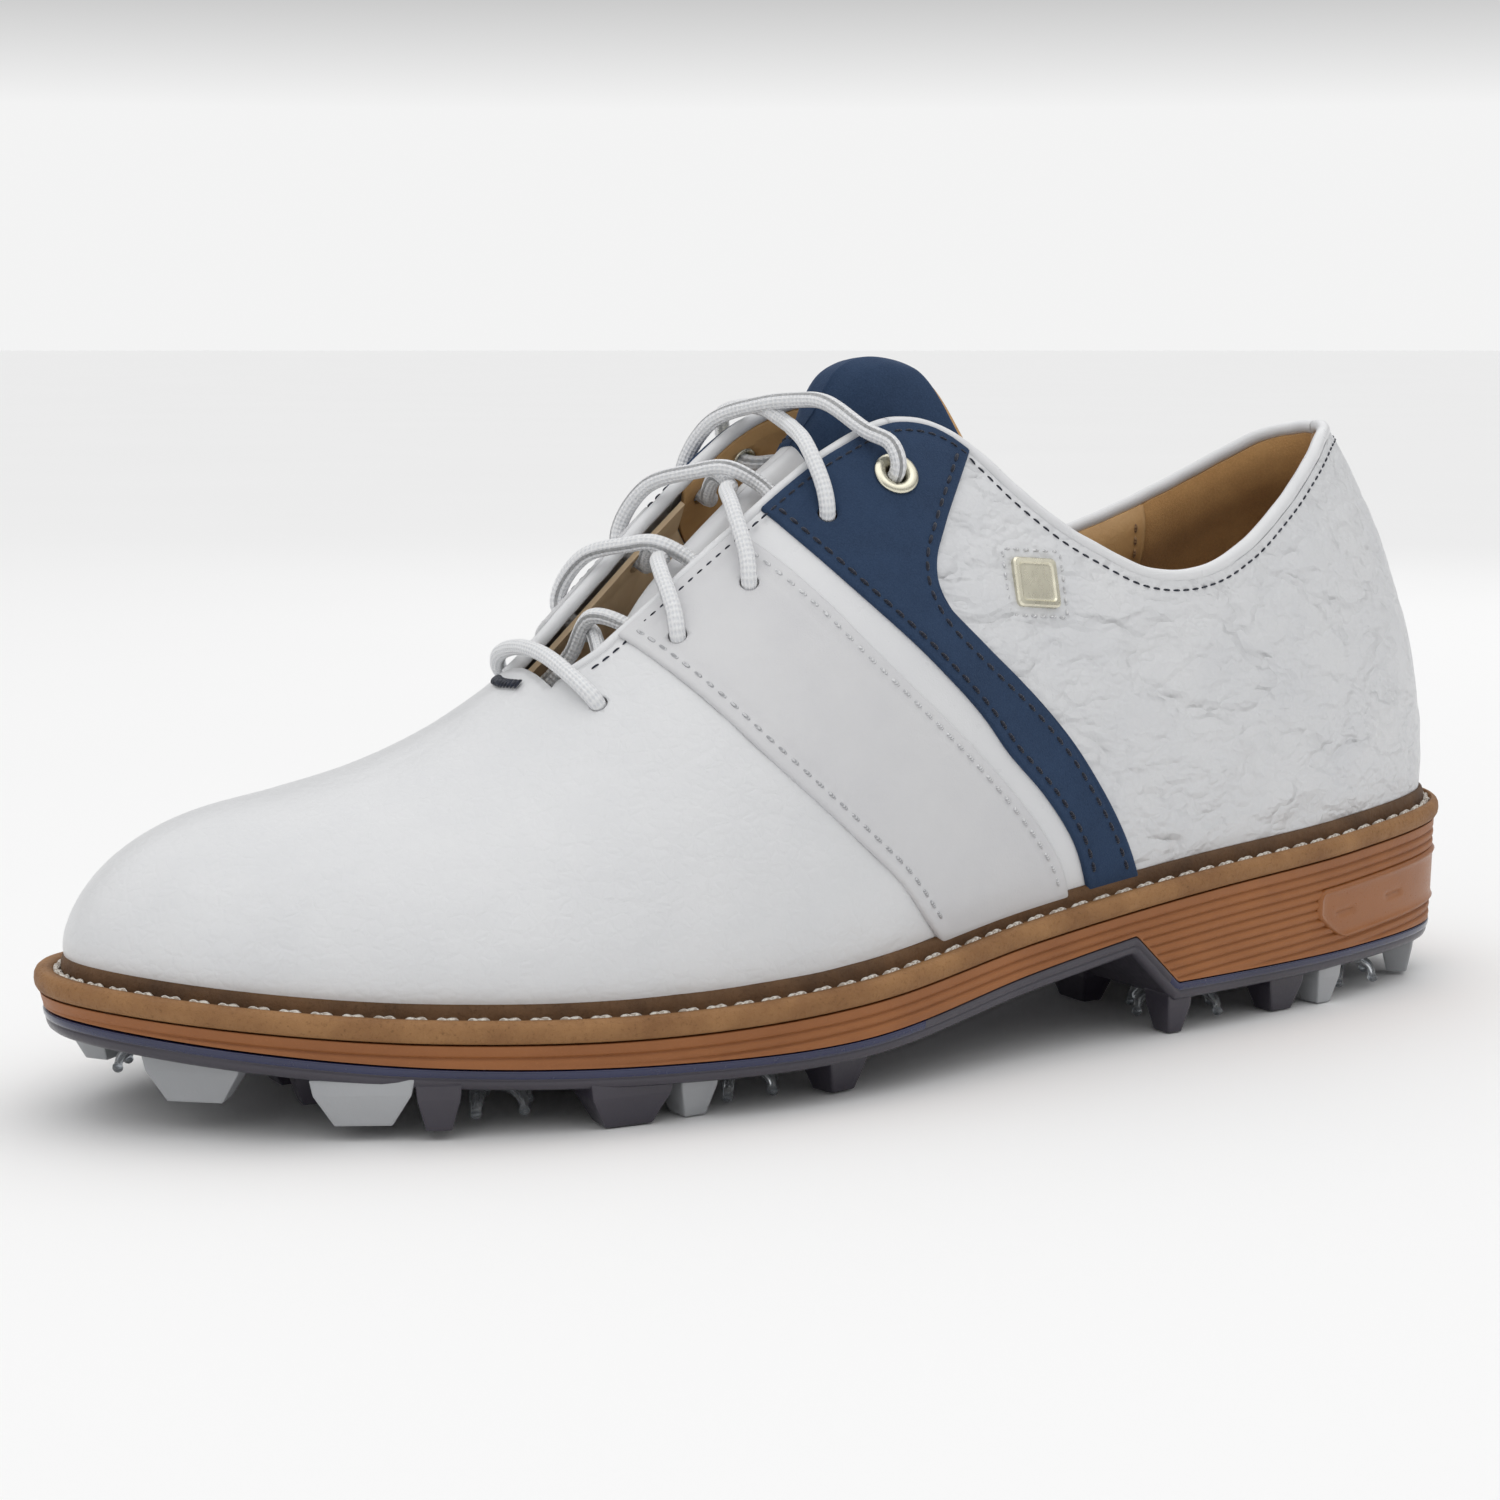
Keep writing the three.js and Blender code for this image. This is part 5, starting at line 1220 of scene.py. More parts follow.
# For each side: half width, depth of the side edge, and where the fall to that depth starts and ends.
TONGUE_SIDES = {
    1: (table([132, 150, 160, 214], [0.34, 0.34, 0.41, 0.4]),
        table([132, 143, 156, 214], [-5.4, -5.6, -11.2, -11.2]),
        table([132, 145, 158, 214], [0.1, 0.1, 0.08, 0.08]), table([132, 145, 158, 214], [0.33, 0.32, 0.26, 0.26])),
    -1: (table([132, 145, 152, 160, 190, 214], [0.2, 0.19, 0.22, 0.29, 0.34, 0.38]),
         table([132, 138, 146, 214], [-5.0, -6.5, -11.2, -11.2]),
         table([132, 145, 158, 190, 214], [0.05, 0.05, 0.04, 0.03, 0.03]),
         table([132, 145, 158, 190, 214], [0.2, 0.2, 0.2, 0.18, 0.18])),
}


def tongue_surface(station, share):
    """Points and normals of the tongue's outer surface; share runs from -1 (inner edge) to 1 (outer edge)."""
    station, share = np.broadcast_arrays(np.asarray(station, float), np.asarray(share, float))
    half, depth, near, far = (np.where(share > 0, out(station), inn(station))
                              for out, inn in zip(TONGUE_SIDES[1], TONGUE_SIDES[-1]))
    arch = share * half + 1e-6
    lift = mix(tongue_centre(station), depth, smoothstep(np.abs(arch), near, far))
    fade = 1 - smoothstep(station, TONGUE_TOP, TONGUE_SLANT_END)
    x = station - TONGUE_SLANT * arch * fade
    normals = unit(mix(arch_normal(x, arch), arch_normal(x, np.zeros_like(x)), 0.6))
    return arch_surface(x, arch) + normals * lift[..., None], normals


def tongue_skin(name, stations, reach, layer, material, edge, nodes=(), relief=None, closed_edges=()):
    """A layer of the tongue over the stations; reach is the share of each side's half width it covers."""
    share = np.linspace(-reach[0], reach[1], 81)[None, :]
    points, normals = tongue_surface(stations[:, None], share)
    drop = rounded(edge_distance(points, closed_edges), edge)
    outer = layer[0] - drop
    if relief is not None:
        outer = outer + relief(points, edge_distance(points, closed_edges))
    flat, out = points.reshape(-1, 3), normals.reshape(-1, 3)
    faces = orient(flat, grid_faces(*points.shape[:2]), out)
    skin = slab(name, flat, faces, out, outer.ravel(), layer[1], material, TONGUE)
    if nodes:
        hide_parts(*nodes)
    return skin


def make_tongue():
    def wrinkles(points, distance):
        return fold_relief(points, distance, 0.1, 18.0, (1, 1, 1), 9.0)

    cut = np.array([0.0, 0.15, 0.4, 0.9])
    upper = np.concatenate([TONGUE_TOP + 1.9 + cut, np.linspace(135.6, 159, 34), [159.5, 159.8, 160.0]])
    lower = np.concatenate([[158.2, 158.5, 159.0], np.linspace(160, TONGUE_BASE, 40)])
    whole = np.concatenate([TONGUE_TOP + cut, np.linspace(133.6, TONGUE_BASE, 70)])
    tongue_skin("tongue_upper", upper, (0.93, 0.985), (0.05, -1.15), NAVY, 0.6, ("tongue_upper",),
                wrinkles)
    tongue_skin("tongue_lower", lower, (0.95, 0.985), (-0.45, -1.2), SMOOTH_WHITE, 0.4,
                ("tongue_lower",), wrinkles)
    tongue_skin("tongue_foam", whole, (1.0, 1.0), (-1.2, -4.0), FELT, 0.9, ("tongue_foam",))
    tongue_skin("tongue_lining", whole, (1.0, 1.0), (-4.1, -5.0), TAN, 0.3, ("tongue_lining",))
    line, normals = tongue_surface(158.3, np.linspace(-0.9, 0.96, 90))
    row = stitch_row("tongue_split_row", line, normals, NAVY_THREAD, pitch=2.4, length=1.8, radius=0.22, body=TONGUE)


# ---- Fittings --------------------------------------------------------------------------------


def lathe(name, profile, centre, axis, material, body=ROOT, sides=48, smooth=True):
    """A turned piece: profile is (radius, height) pairs, closed on itself or on the axis."""
    angles = np.linspace(0, 2 * math.pi, sides, endpoint=False)
    axis = unit(np.asarray(axis, float))
    across = unit(np.cross(axis, [0.2, 1.0, 0.1]))
    other = np.cross(axis, across)
    points = []
    for r, z in profile:
        for angle in angles:
            points.append(centre + axis * z + (across * math.cos(angle) + other * math.sin(angle)) * r)
    faces = []
    for i in range(len(profile)):
        n = (i + 1) % len(profile)
        for j in range(sides):
            k = (j + 1) % sides
            faces.append([i * sides + j, i * sides + k, n * sides + k, n * sides + j])
    points, faces = weld(np.array(points), faces)
    return new_mesh(name, points, faces, material, body, smooth=smooth)


def make_fittings():
    for side, word in SIDES:
        x, arch = LACE_HOLES[side][-1]
        axis = arch_normal(x, arch)
        profile = [(2.1, -4.6), (2.6, -4.6), (2.6, 0.6), (4.0, 0.75), (4.35, 0.95), (4.45, 1.25), (4.3, 1.5),
                   (3.8, 1.75), (3.2, 1.85), (2.6, 1.7), (2.2, 1.3), (2.05, 0.7)]
        eyelet = lathe(f"eyelet_{word}", profile, arch_point(x, arch), axis, BRASS)
        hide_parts(f"eyelet_{word}")
    make_badge()
    make_bar_tack()


def surface_axes(place, height):
    """Point, forward, upward and outward directions on the quarter."""
    point = last_point(place, height)
    out = last_normal(place, height)
    forward = unit(last_point(place + 0.03, height) - last_point(place - 0.03, height))
    return point, forward, np.cross(out, forward), out


def make_badge():
    """A plain square stud with a bevelled rim, inside a sewn square."""
    place, height = 3.78, 0.608
    point, forward, up, out = surface_axes(place, height)
    if up[2] < 0:
        forward, up = -forward, -up
    mesh = bmesh.new()
    rings = [(4.9, -0.1), (4.9, 0.75), (4.6, 1.1), (3.9, 1.15), (3.6, 0.8), (3.3, 0.78)]
    loops = []
    corner = 1.1
    for half, z in rings:
        loop = []
        for quarter in range(4):
            for step in range(7):
                angle = math.radians(quarter * 90 + step * 15)
                sign = ((1, 1), (-1, 1), (-1, -1), (1, -1))[quarter]
                r = corner * half / 4.9
                a = sign[0] * (half - r) + r * math.cos(angle)
                b = sign[1] * (half - r) + r * math.sin(angle)
                loop.append(mesh.verts.new(Vector(to_row(point + forward * a + up * b + out * z))))
        loops.append(loop)
    for low, high in zip(loops, loops[1:]):
        for k in range(len(low)):
            n = (k + 1) % len(low)
            mesh.faces.new([low[k], low[n], high[n], high[k]])
    mesh.faces.new(loops[-1])
    mesh.faces.new(loops[0][::-1])
    bmesh.ops.recalc_face_normals(mesh, faces=mesh.faces)
    data = bpy.data.meshes.new("quarter_badge")
    mesh.to_mesh(data)
    mesh.free()
    data.materials.append(BRASS)
    badge = bpy.data.objects.new("quarter_badge", data)
    bpy.context.scene.collection.objects.link(badge)
    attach(badge, ROOT)
    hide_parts("quarter_badge")
    half = 6.6
    corners = [(half, half), (-half, half), (-half, -half), (half, -half), (half, half)]
    line, normals = [], []
    for (a0, b0), (a1, b1) in zip(corners, corners[1:]):
        for t in np.linspace(0, 1, 12, endpoint=False):
            a, b = mix(a0, a1, t), mix(b0, b1, t)
            spot = point + forward * a + up * b
            line.append(spot - out * ((a * a) / 300 + (b * b) / 190))
            normals.append(out)
    line.append(line[0])
    normals.append(out)
    row = stitch_row("badge_row", np.array(line), np.array(normals), WHITE_THREAD, pitch=2.2, length=1.7,
                     radius=0.3, lift=0.25)


def make_bar_tack():
    """Close zigzag threads across the foot of the throat."""
    x, half = 216.0, 5.6
    arch_mm = 0.0155
    threads = 22
    centres, ahead, across, outs = [], [], [], []
    for k in range(threads):
        arch = mix(-half, half, k / (threads - 1)) * arch_mm
        out = arch_normal(x, arch)
        bow = 0.9 * (abs(k / (threads - 1) - 0.5) * 2) ** 2
        centres.append(arch_point(x - bow, arch, 0.75))
        along = unit(arch_surface(x + 1, arch) - arch_surface(x - 1, arch))
        side = unit(np.cross(out, along))
        turned = unit(along + side * (0.3 if k % 2 else -0.3))
        ahead.append(turned)
        across.append(unit(np.cross(out, turned)))
        outs.append(out)
    shape, faces = capsule(2.5, 0.34)
    tack = place_copies("bar_tack", shape, faces, np.array(centres), np.array(ahead), np.array(across),
                        np.array(outs), NAVY_THREAD)
    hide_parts("bar_tack")


# ---- Sole ------------------------------------------------------------------------------------


def even_places(count, inset=0.0):
    """Places round the outline an even distance apart, and the distance of each from the heel's back."""
    dense = np.linspace(0, TURNS, 8001)
    x, y, _, _ = outline_point(dense, inset)
    lengths = np.concatenate([[0], np.cumsum(np.hypot(np.diff(x), np.diff(y)))])
    at = np.linspace(0, lengths[-1], count, endpoint=False)
    return np.interp(at, lengths, dense), at, lengths[-1]


def swept(name, rings, stations, material, closed=True, ring_materials=None, body=ROOT):
    """A band round the sole. rings are functions of place giving inset and height, in order round the section."""
    places, _, _ = even_places(stations)
    base_x = outline_point(places)[0]
    points = []
    for inset, height in rings:
        distance = inset(base_x) if callable(inset) else np.full(stations, float(inset))
        x, y, _, _ = outline_point(places, lambda _, d=distance: d)
        points.append(np.stack([x, y, height(x)], -1))
    grid = np.array(points)
    count = len(rings)
    faces, indices = [], []
    for i in range(count if closed else count - 1):
        n = (i + 1) % count
        for k in range(stations):
            m = (k + 1) % stations
            faces.append([i * stations + k, i * stations + m, n * stations + m, n * stations + k])
            indices.append(ring_materials[i] if ring_materials else 0)
    piece = new_mesh(name, grid.reshape(-1, 3), faces, material, None, indices=indices)
    if not closed:
        cap_ends(piece, grid)
    bm = bmesh.new()
    bm.from_mesh(piece.data)
    bmesh.ops.recalc_face_normals(bm, faces=bm.faces)
    bm.to_mesh(piece.data)
    bm.free()
    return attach(piece, body)


def cap_ends(piece, grid):
    """Closes the bottom and top of an open band with a ladder of faces across the shoe."""
    count, stations = grid.shape[:2]
    bm = bmesh.new()
    bm.from_mesh(piece.data)
    bm.verts.ensure_lookup_table()
    for ring in (0, count - 1):
        start = ring * stations
        for k in range(stations // 2):
            loop = [k, k + 1, (stations - k - 1) % stations, (stations - k) % stations]
            loop = list(dict.fromkeys(loop))
            if len(loop) > 2:
                face = bm.faces.new([bm.verts[start + v] for v in loop])
                face.material_index = piece.data.polygons[0].material_index if ring == 0 else 0
    bm.to_mesh(piece.data)
    bm.free()


def above_welt(rise):
    return lambda x: welt_bottom(x) + rise


def above_tread(rise):
    return lambda x: tread_height(x) + rise


def from_feather(step):
    """An inset measured from the foot of the upper."""
    return lambda x: feather_inset(x) + step


def make_welt():
    """Sanded outer welt with a sewn channel, and the raised storm bead against the upper."""
    outer = [
        (3.0, 0.3), (0.6, 0.3), (0.0, 0.55), (-0.38, 1.2), (-0.5, 2.1), (-0.42, 3.0), (-0.1, 3.7), (0.4, 4.15),
        (1.0, 4.3),
    ]
    rings = [(inset, above_welt(z)) for inset, z in outer]
    rings += [(from_feather(step), above_welt(z)) for step, z in (
        (-2.9, 4.1), (-2.7, 3.5), (-2.2, 3.1), (-1.5, 3.1), (-1.25, 3.6))]
    rings += [(from_feather(step), above_welt(z)) for step, z in (
        (-1.3, 4.6), (-1.2, 5.6), (-0.95, 6.4), (-0.5, 6.85), (0.0, 6.7), (0.35, 6.0), (0.6, 5.0), (3.2, 4.6))]
    rings += [(from_feather(3.2), above_welt(0.3))]
    outer_count = len(outer) + 4
    materials = [0 if i < outer_count else 1 for i in range(len(rings))]
    welt = swept("welt", rings, 900, [WELT, BEAD], ring_materials=materials)
    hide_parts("welt")
    pitch, count = 5.4, 0
    _, _, perimeter = even_places(10)
    count = int(perimeter / pitch)
    places, _, _ = even_places(count)
    base_x = outline_point(places)[0]
    inset = feather_inset(base_x) - 1.95

    def along_points(step):
        moved = places + step
        x0 = outline_point(moved)[0]
        x, y, _, _ = outline_point(moved, lambda _, d=feather_inset(x0) - 1.95: d)
        return np.stack([x, y, welt_bottom(x) + 3.65], -1)

    centres = along_points(0.0)
    ahead = unit(along_points(0.02) - along_points(-0.02))
    x, y, out_x, out_y = outline_point(places, lambda _, d=inset: d)
    outward = np.stack([out_x, out_y, np.zeros(count)], -1)
    up = unit(np.cross(outward, ahead))
    up = np.where(up[:, 2:] < 0, -up, up)
    strand, strand_faces = twisted_strand(5.0, 0.74)
    row = place_copies("welt_row", strand, strand_faces, centres, ahead, outward, up, WELT_THREAD)


def twisted_strand(length, radius):
    """A thick waxed thread of two plies, flat on its channel and pulled in at both ends."""
    points, faces = [], []
    steps, sides = 15, 7
    for ply in range(2):
        start = len(points)
        for i in range(steps):
            t = 2 * i / (steps - 1) - 1
            swell = math.sqrt(max(0.05, 1 - abs(t) ** 3))
            angle = math.pi * ply + t * 2.6
            centre = (t * length / 2, 0.42 * radius * math.cos(angle) * swell,
                      0.42 * radius * math.sin(angle) * swell - 0.9 * abs(t) ** 4)
            for k in range(sides):
                a = 2 * math.pi * k / sides
                r = 0.68 * radius * swell
                points.append([centre[0], centre[1] + r * math.cos(a), centre[2] + r * math.sin(a)])
        for i in range(steps - 1):
            for k in range(sides):
                n = (k + 1) % sides
                a, b = start + i * sides, start + (i + 1) * sides
                faces.append([a + k, b + k, b + n, a + n])
        faces.append([start + k for k in range(sides)])
        faces.append([start + (steps - 1) * sides + k for k in range(sides)][::-1])
    return points, faces


GROOVE_PITCH = 1.95
FIRST_BAND = 2.2
GROOVES = 12
PANEL = {"low": 17.6, "high": 6.0, "tip_low": 45.0, "tip_high": 53.5}


def wall_inset(depth, thickness):
    """The midsole wall's inset before its grooves: 0.4 at the welt and 1.0 at the plate."""
    return 0.4 + 0.6 * np.clip(depth / np.maximum(thickness, 1), 0, 1)


def make_midsole():
    stations = 900
    places, _, _ = even_places(stations)
    top = welt_bottom
    profile = [(0.0, 0.0), (0.25, 0.0)]
    for k in range(GROOVES):
        groove = FIRST_BAND + k * GROOVE_PITCH
        profile += [(groove - 0.55, 0.0), (groove - 0.3, 0.12), (groove - 0.12, 0.5), (groove + 0.12, 0.5),
                    (groove + 0.3, 0.12), (groove + 0.55, 0.0), (groove + 0.95, -0.06)]
    rings = []
    bottom_gap = PLATE_THICKNESS + GAP
    for order, (depth, sink) in enumerate(profile):
        x0, y0, _, _ = outline_point(places)
        thickness = top(x0) - tread_height(x0) - bottom_gap
        at = np.minimum(depth, thickness - 0.002 * (len(profile) - order))
        fade = smoothstep(thickness - depth, 0.2, 0.9)
        inset = wall_inset(at, thickness) + sink * fade
        x, y, _, _ = outline_point(places, lambda _, d=inset: d)
        rings.append(np.stack([x, y, top(x0) - at], -1))
    grid = np.array(rings[::-1])
    points = grid.reshape(-1, 3)
    faces = []
    for i in range(len(grid) - 1):
        for k in range(stations):
            m = (k + 1) % stations
            faces.append([i * stations + k, i * stations + m, (i + 1) * stations + m, (i + 1) * stations + k])
    midsole = new_mesh("midsole", points, faces, RUBBER, None)
    cap_ends(midsole, grid)
    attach(midsole, ROOT)
    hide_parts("midsole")
    make_heel_panel()


def make_heel_panel():
    """A smooth plate moulded round the heel over the grooves, with slanting ends and a raised rim."""
    dense = np.linspace(-3, 3, 1201)
    x, y, _, _ = outline_point(dense, 0.6)
    lengths = np.concatenate([[0], np.cumsum(np.hypot(np.diff(x), np.diff(y)))])
    lengths -= np.interp(0, dense, lengths)

    def wall(distance, depth, out):
        place = np.interp(distance, lengths, dense)
        x0 = outline_point(place)[0]
        thickness = welt_bottom(x0) - tread_height(x0) - PLATE_THICKNESS - GAP
        inset = wall_inset(depth, thickness) - out
        px, py, _, _ = outline_point(place, lambda _, d=inset: d)
        return np.stack([px, py, welt_bottom(x0) - depth], -1)

    reach_high = float(np.interp(PANEL["tip_high"], x[dense > 0], lengths[dense > 0]))
    reach_low = float(np.interp(PANEL["tip_low"], x[dense > 0], lengths[dense > 0]))
    v = edge_steps(PANEL["low"] - PANEL["high"], 0.8, (0.2, 0.45, 0.75, 1.1))
    u = edge_steps(2 * reach_high, 1.0, (0.2, 0.45, 0.75, 1.1))
    depth = mix(PANEL["high"], PANEL["low"], v)[None, :]
    corner = 2.6
    near = np.minimum(v, 1 - v)[None, :] * (PANEL["low"] - PANEL["high"])
    trim = corner - np.sqrt(np.clip(corner ** 2 - np.clip(corner - near, 0, corner) ** 2, 0, None))
    end = mix(reach_high, reach_low, np.clip((v - 0.45) / 0.55, 0, 1)[None, :] ** 1.2) - trim
    distance = mix(-end, end, u[:, None])
    distance, depth = np.broadcast_arrays(distance, depth)
    flat_edge = np.minimum(np.minimum(distance + end, end - distance), np.broadcast_to(near, distance.shape))
    rim = 0.42 * np.exp(-((flat_edge - 0.8) / 0.38) ** 2)
    out = 0.12 + rim - 0.5 * np.clip(1 - flat_edge / 0.4, 0, 1) ** 2
    for centre in (reach_high - 9.0, reach_high - 27.0):
        for sign in (-1, 1):
            along = np.clip(np.abs(distance - sign * centre) - 2.6, 0, None)
            away = np.hypot(along, depth - (PANEL["low"] + PANEL["high"]) / 2)
            out = out - 0.45 * np.exp(-(away / 0.5) ** 2)
    front = wall(distance, depth, out)
    back = wall(distance, depth, np.full_like(out, -0.8))
    rows, columns = distance.shape
    points = np.concatenate([front.reshape(-1, 3), back.reshape(-1, 3)])
    faces = grid_faces(rows, columns).tolist() + grid_faces(rows, columns, rows * columns, True).tolist()
    ring = [i * columns for i in range(rows)] + [(rows - 1) * columns + j for j in range(1, columns)]
    ring += [i * columns + columns - 1 for i in range(rows - 2, -1, -1)] + list(range(columns - 2, 0, -1))
    shift = rows * columns
    for a, b in zip(ring, ring[1:] + ring[:1]):
        faces.append([a, b, b + shift, a + shift])
    panel = new_mesh("heel_panel", points, faces, PANEL_RUBBER, None)
    bm = bmesh.new()
    bm.from_mesh(panel.data)
    bmesh.ops.recalc_face_normals(bm, faces=bm.faces)
    bm.to_mesh(panel.data)
    bm.free()
    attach(panel, ROOT)


# Lugs: centre, turn in degrees, half length and half width at the root, and whether silver.
LUGS = [
    (283, 13, -40, 9, 4, 1), (286, -25, 35, 8, 4, 1),
    (260, 31, -28, 9, 4.5, 1), (262, -36, 25, 9, 4.5, 1), (258, -4, 0, 8, 5, 0), (262, 14, -10, 5, 4, 0),
    (262, -20, 10, 5, 4, 0),
    (249, 37.5, -24, 4, 3.2, 0), (238, -3, 0, 9, 6, 0),
    (217, 44, -4, 8, 5, 0), (218, -45, 4, 8, 5, 0), (217, 12, 10, 8, 5, 0), (217, -18, -10, 8, 5, 0),
    (204, 44, 4, 4, 4.5, 1), (204, -44, -4, 4, 4.5, 1), (192, 0, 0, 9, 6, 0),
    (173, 43, 12, 5, 4.5, 0), (174, -38, -10, 5, 4.5, 0), (170, 10, 0, 7, 5, 0), (170, -15, 0, 7, 5, 0),
    (91, 36, 0, 3, 4, 0), (91, -30, 0, 3, 4, 0), (88, 3, 0, 4, 7, 0),
    (60, 31, 5, 5, 4, 0), (60, -27, -3, 5, 4, 0), (56, 0, 0, 7, 9, 0),
    (48, 30, 8, 3.5, 4, 1), (48, -27, -8, 3.5, 4, 1), (30, 0, 0, 6, 4, 0),
    (14, 17, 45, 5, 3.5, 1), (14, -17, -45, 5, 3.5, 1),
]
LUG_HEIGHT = 7.4


def make_outsole():
    """Navy plate with a darker bevelled underside, and a charcoal frame where it arches at the waist."""
    lower = [(14.0, 0.12), (4.4, 0.12), (3.6, -0.1), (2.4, 0.05), (1.75, 0.5), (1.45, 1.1), (1.3, 1.9)]
    upper = [(1.42, 2.0), (1.22, 2.15), (1.02, 2.6), (0.9, 3.3), (1.0, 3.6), (3.0, 3.62)]
    rings = [(inset, above_tread(z)) for inset, z in lower + upper]
    materials = [1] * len(lower) + [0] * len(upper)
    plate = swept("outsole", rings, 900, [TREAD_NAVY, TREAD_PLUM], closed=False, ring_materials=materials)
    waist_low, waist_high = 95.0, 158.0
    data = plate.data
    for polygon in data.polygons:
        x = polygon.center.x / MM + ORIGIN[0]
        if len(polygon.vertices) == 4 and waist_low < x < waist_high:
            polygon.material_index = 1
        if polygon.normal.z < -0.7:
            polygon.material_index = 1
    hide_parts("outsole")
    for silver, name, look in ((1, "lugs_silver", LUG_SILVER), (0, "lugs_dark", TREAD_PLUM)):
        bm = bmesh.new()
        for x, y, turn, half_length, half_width, kind in LUGS:
            if kind != silver:
                continue
            root = float(tread_height(x)) + 1.2
            tip = max(0.0, float(tread_height(x)) - LUG_HEIGHT)
            angle = math.radians(turn)
            cosine, sine = math.cos(angle), math.sin(angle)
            loops = []
            for z, length, width in ((root, 1.0, 1.0), (mix(root, tip, 0.35), 0.93, 0.93), (tip, 0.55, 0.6)):
                loop = []
                for a, b in ((-1, -1), (1, -1), (1, 1), (-1, 1)):
                    px, py = a * half_length * length, b * half_width * width
                    spot = (x + px * cosine - py * sine, y + px * sine + py * cosine, z)
                    loop.append(bm.verts.new(Vector(to_row(spot))))
                loops.append(loop)
            bm.faces.new(loops[0][::-1])
            bm.faces.new(loops[-1])
            for low, high in zip(loops, loops[1:]):
                for k in range(4):
                    n = (k + 1) % 4
                    bm.faces.new([low[k], low[n], high[n], high[k]])
        bmesh.ops.recalc_face_normals(bm, faces=bm.faces)
        sharp = [e for e in bm.edges if e.calc_face_angle(0) > math.radians(14)]
        bmesh.ops.bevel(bm, geom=sharp, offset=0.45 * MM, segments=2, profile=0.6, affect="EDGES")
        data = bpy.data.meshes.new(name)
        bm.to_mesh(data)
        bm.free()
        data.materials.append(look)
        lugs = bpy.data.objects.new(name, data)
        bpy.context.scene.collection.objects.link(lugs)
        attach(lugs, ROOT)


# ---- Cleats ----------------------------------------------------------------------------------

CLEAT_LEGS = 6


def seat(x, y):
    """Centre and downward-facing axes of a cleat's seat on the tread."""
    slope = float(tread_height(x + 2) - tread_height(x - 2)) / 4
    up = unit(np.array([-slope, 0.0, 1.0]))
    ahead = unit(np.array([1.0, 0.0, slope]))
    return np.array([x, y, float(tread_height(x))]), ahead, np.cross(up, ahead), up


def cleat_mesh():
    """A domed disc whose arched legs end in small round feet, and the stud that turns in the sole."""
    profile = [
        (0.0, -3.0), (1.6, -2.9), (2.6, -2.45), (3.4, -2.2), (4.6, -2.3), (5.6, -2.15), (7.0, -1.7), (7.9, -1.2),
        (8.2, -0.75), (8.1, -0.35), (4.1, -0.3), (4.1, 2.3), (3.9, 2.5), (0.0, 2.5),
    ]
    sides = 48
    points, faces = [], []
    for r, z in profile:
        for k in range(sides):
            angle = 2 * math.pi * k / sides
            points.append([r * math.cos(angle), r * math.sin(angle), z])
    for i in range(len(profile) - 1):
        for k in range(sides):
            n = (k + 1) % sides
            faces.append([i * sides + k, i * sides + n, (i + 1) * sides + n, (i + 1) * sides + k])
    path = np.array([[4.3, 0, -1.5], [5.8, 0, -2.0], [7.3, 0, -2.5], [8.6, 0, -3.5], [9.2, 0, -4.7], [9.35, 0, -5.7],
                     [9.6, 0, -6.3]])
    width = [1.5, 1.6, 1.5, 1.25, 1.0, 0.85, 0.5]
    thick = [0.7, 0.95, 1.0, 0.9, 0.75, 0.7, 0.45]
    line = smooth_route(path, 5)
    at = np.linspace(0, 1, len(line))
    spots = np.linspace(0, 1, len(path))
    width, thick = np.interp(at, spots, width), np.interp(at, spots, thick)
    ahead = tangents(line)
    across = np.array([0.0, 1.0, 0.0])
    ring = 14
    for leg in range(CLEAT_LEGS):
        angle = 2 * math.pi * leg / CLEAT_LEGS
        turn = np.array([[math.cos(angle), -math.sin(angle), 0], [math.sin(angle), math.cos(angle), 0], [0, 0, 1]])
        start = len(points)
        for k, spot in enumerate(line):
            up = np.cross(ahead[k], across)
            for j in range(ring):
                a = 2 * math.pi * j / ring
                points.append(list(turn @ (spot + across * math.cos(a) * width[k] + up * math.sin(a) * thick[k])))
        for k in range(len(line) - 1):
            for j in range(ring):
                n = (j + 1) % ring
                a, b = start + k * ring, start + (k + 1) * ring
                faces.append([a + j, a + n, b + n, b + j])
        faces.append([start + j for j in range(ring)][::-1])
        faces.append([start + (len(line) - 1) * ring + j for j in range(ring)])
        foot = turn @ np.array([9.35, 0.0, -5.9])
        start = len(points)
        bands = 8
        for i in range(1, bands):
            polar = math.pi * i / bands
            for j in range(ring):
                a = 2 * math.pi * j / ring
                points.append(list(foot + np.array([math.sin(polar) * math.cos(a) * 0.95,
                                                    math.sin(polar) * math.sin(a) * 1.25,
                                                    math.cos(polar) * 0.9])))
        for i in range(bands - 2):
            for j in range(ring):
                n = (j + 1) % ring
                a, b = start + i * ring, start + (i + 1) * ring
                faces.append([a + j, b + j, b + n, a + n])
        faces.append([start + j for j in range(ring)])
        faces.append([start + (bands - 2) * ring + j for j in range(ring)][::-1])
    return np.array(points), faces


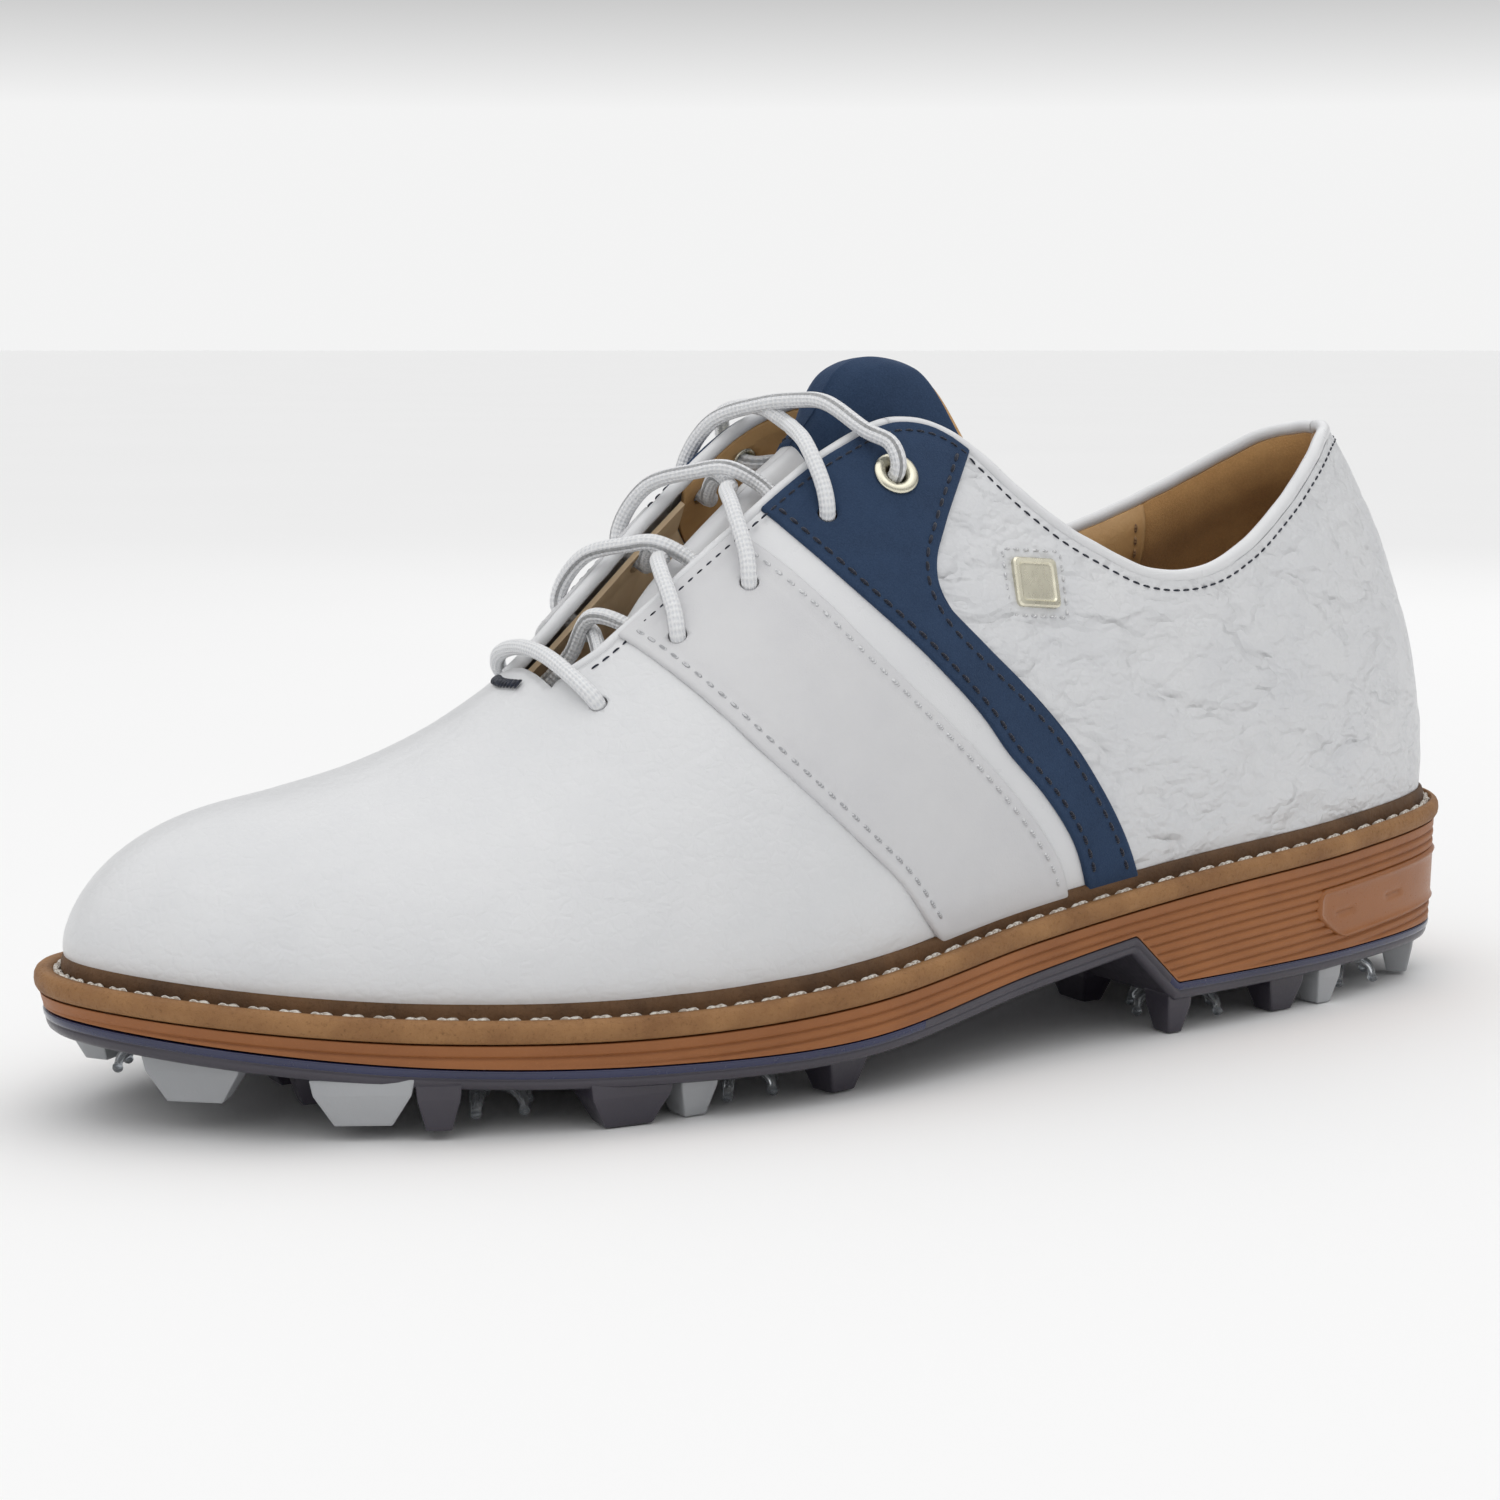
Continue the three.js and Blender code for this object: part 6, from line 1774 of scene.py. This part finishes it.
def make_cleats():
    shape, shape_faces = cleat_mesh()
    for name, (x, y) in CLEATS.items():
        centre, ahead, across, up = seat(x, y)
        points = centre + shape[:, :1] * ahead + shape[:, 1:2] * across + shape[:, 2:] * up
        merged, faces = weld(points, shape_faces)
        cleat = new_mesh(f"cleat_{name}", merged, faces, CLEAT_CLEAR, f"cleat_{name}")
        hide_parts(f"cleat_{name}")
        profile = [(4.5, 0.05), (4.7, -0.1), (8.45, -0.1), (8.75, 0.1), (8.8, 0.5), (8.8, 3.2), (0.0, 3.2), (0.0, 2.8),
                   (4.5, 2.8)]
        socket = lathe(f"receptacle_{name}", profile, centre, up, SOCKET)
        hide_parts(f"receptacle_{name}")


# ---- Inner pieces carried over from the CAD --------------------------------------------------


def paint_cad_nodes():
    looks = {
        "cork_filler": CORK, "shank": STEEL, "insole_board": BOARD, "toe_puff": BOARD, "heel_counter": BOARD,
        "footbed": FOOTBED, "collar_foam": FOAM,
    }
    for node, look in looks.items():
        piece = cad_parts[node]
        piece.data.materials.clear()
        piece.data.materials.append(look)


# ---- Stage -----------------------------------------------------------------------------------


def area_light(name, spot, target, size, power, colour=(1, 1, 1)):
    data = bpy.data.lights.new(name, "AREA")
    data.shape = "RECTANGLE"
    data.size, data.size_y = size
    data.energy = power
    data.color = colour
    light = bpy.data.objects.new(name, data)
    light.location = spot
    light.rotation_mode = "QUATERNION"
    light.rotation_quaternion = (Vector(target) - Vector(spot)).to_track_quat("-Z", "Y")
    bpy.context.scene.collection.objects.link(light)


def make_stage():
    floor_mesh = bpy.data.meshes.new("floor")
    half = 40.0
    floor_mesh.from_pydata([(-half, -half, 0), (half, -half, 0), (half, half, 0), (-half, half, 0)], [], [(0, 1, 2, 3)])
    floor = bpy.data.objects.new("floor", floor_mesh)
    bpy.context.scene.collection.objects.link(floor)
    p = Paint("floor", Roughness=0.9, Specular_IOR_Level=0.1)
    p.colour(p.blend(p.noise(3, 2), (0.9, 0.9, 0.9), (0.92, 0.92, 0.92)))
    floor_mesh.materials.append(p.material)
    floor.location.z = -0.0002
    world = bpy.data.worlds.new("studio")
    world.use_nodes = True
    tree = world.node_tree
    background = tree.nodes["Background"]
    background.inputs["Strength"].default_value = 1.25
    way = tree.nodes.new("ShaderNodeTexCoord")
    parts = tree.nodes.new("ShaderNodeSeparateXYZ")
    sky = tree.nodes.new("ShaderNodeValToRGB")
    tree.links.new(way.outputs["Generated"], parts.inputs[0])
    tree.links.new(parts.outputs[2], sky.inputs["Fac"])
    tree.links.new(sky.outputs["Color"], background.inputs["Color"])
    # Brightness against the sine of the elevation: a bright horizon, a dark band, and a bright ceiling.
    stops = [(0.0, 0.72), (0.07, 0.72), (0.13, 0.30), (0.42, 0.34), (0.66, 0.86), (1.0, 0.98)]
    for _ in stops[2:]:
        sky.color_ramp.elements.new(0.5)
    for element, (at, level) in zip(sky.color_ramp.elements, stops):
        element.position = at
        element.color = (level, level, level, 1)
    bpy.context.scene.world = world
    area_light("overhead", (0.1, 0.25, 1.1), (0, 0, 0.05), (1.2, 0.9), 1.2)
    area_light("front", (1.1, 0.6, 0.55), (0.05, 0, 0.06), (0.6, 0.6), 0.7)
    area_light("rim", (-0.7, -0.7, 0.7), (0, 0, 0.06), (0.7, 0.7), 0.8)
    bpy.context.scene.view_settings.view_transform = "Standard"


make_camera()
make_lace()
make_vamp()
make_side_panels()
make_upper_stitches()
make_bindings()
make_linings()
make_tongue()
make_fittings()
make_welt()
make_midsole()
make_outsole()
make_cleats()
paint_cad_nodes()
make_stage()
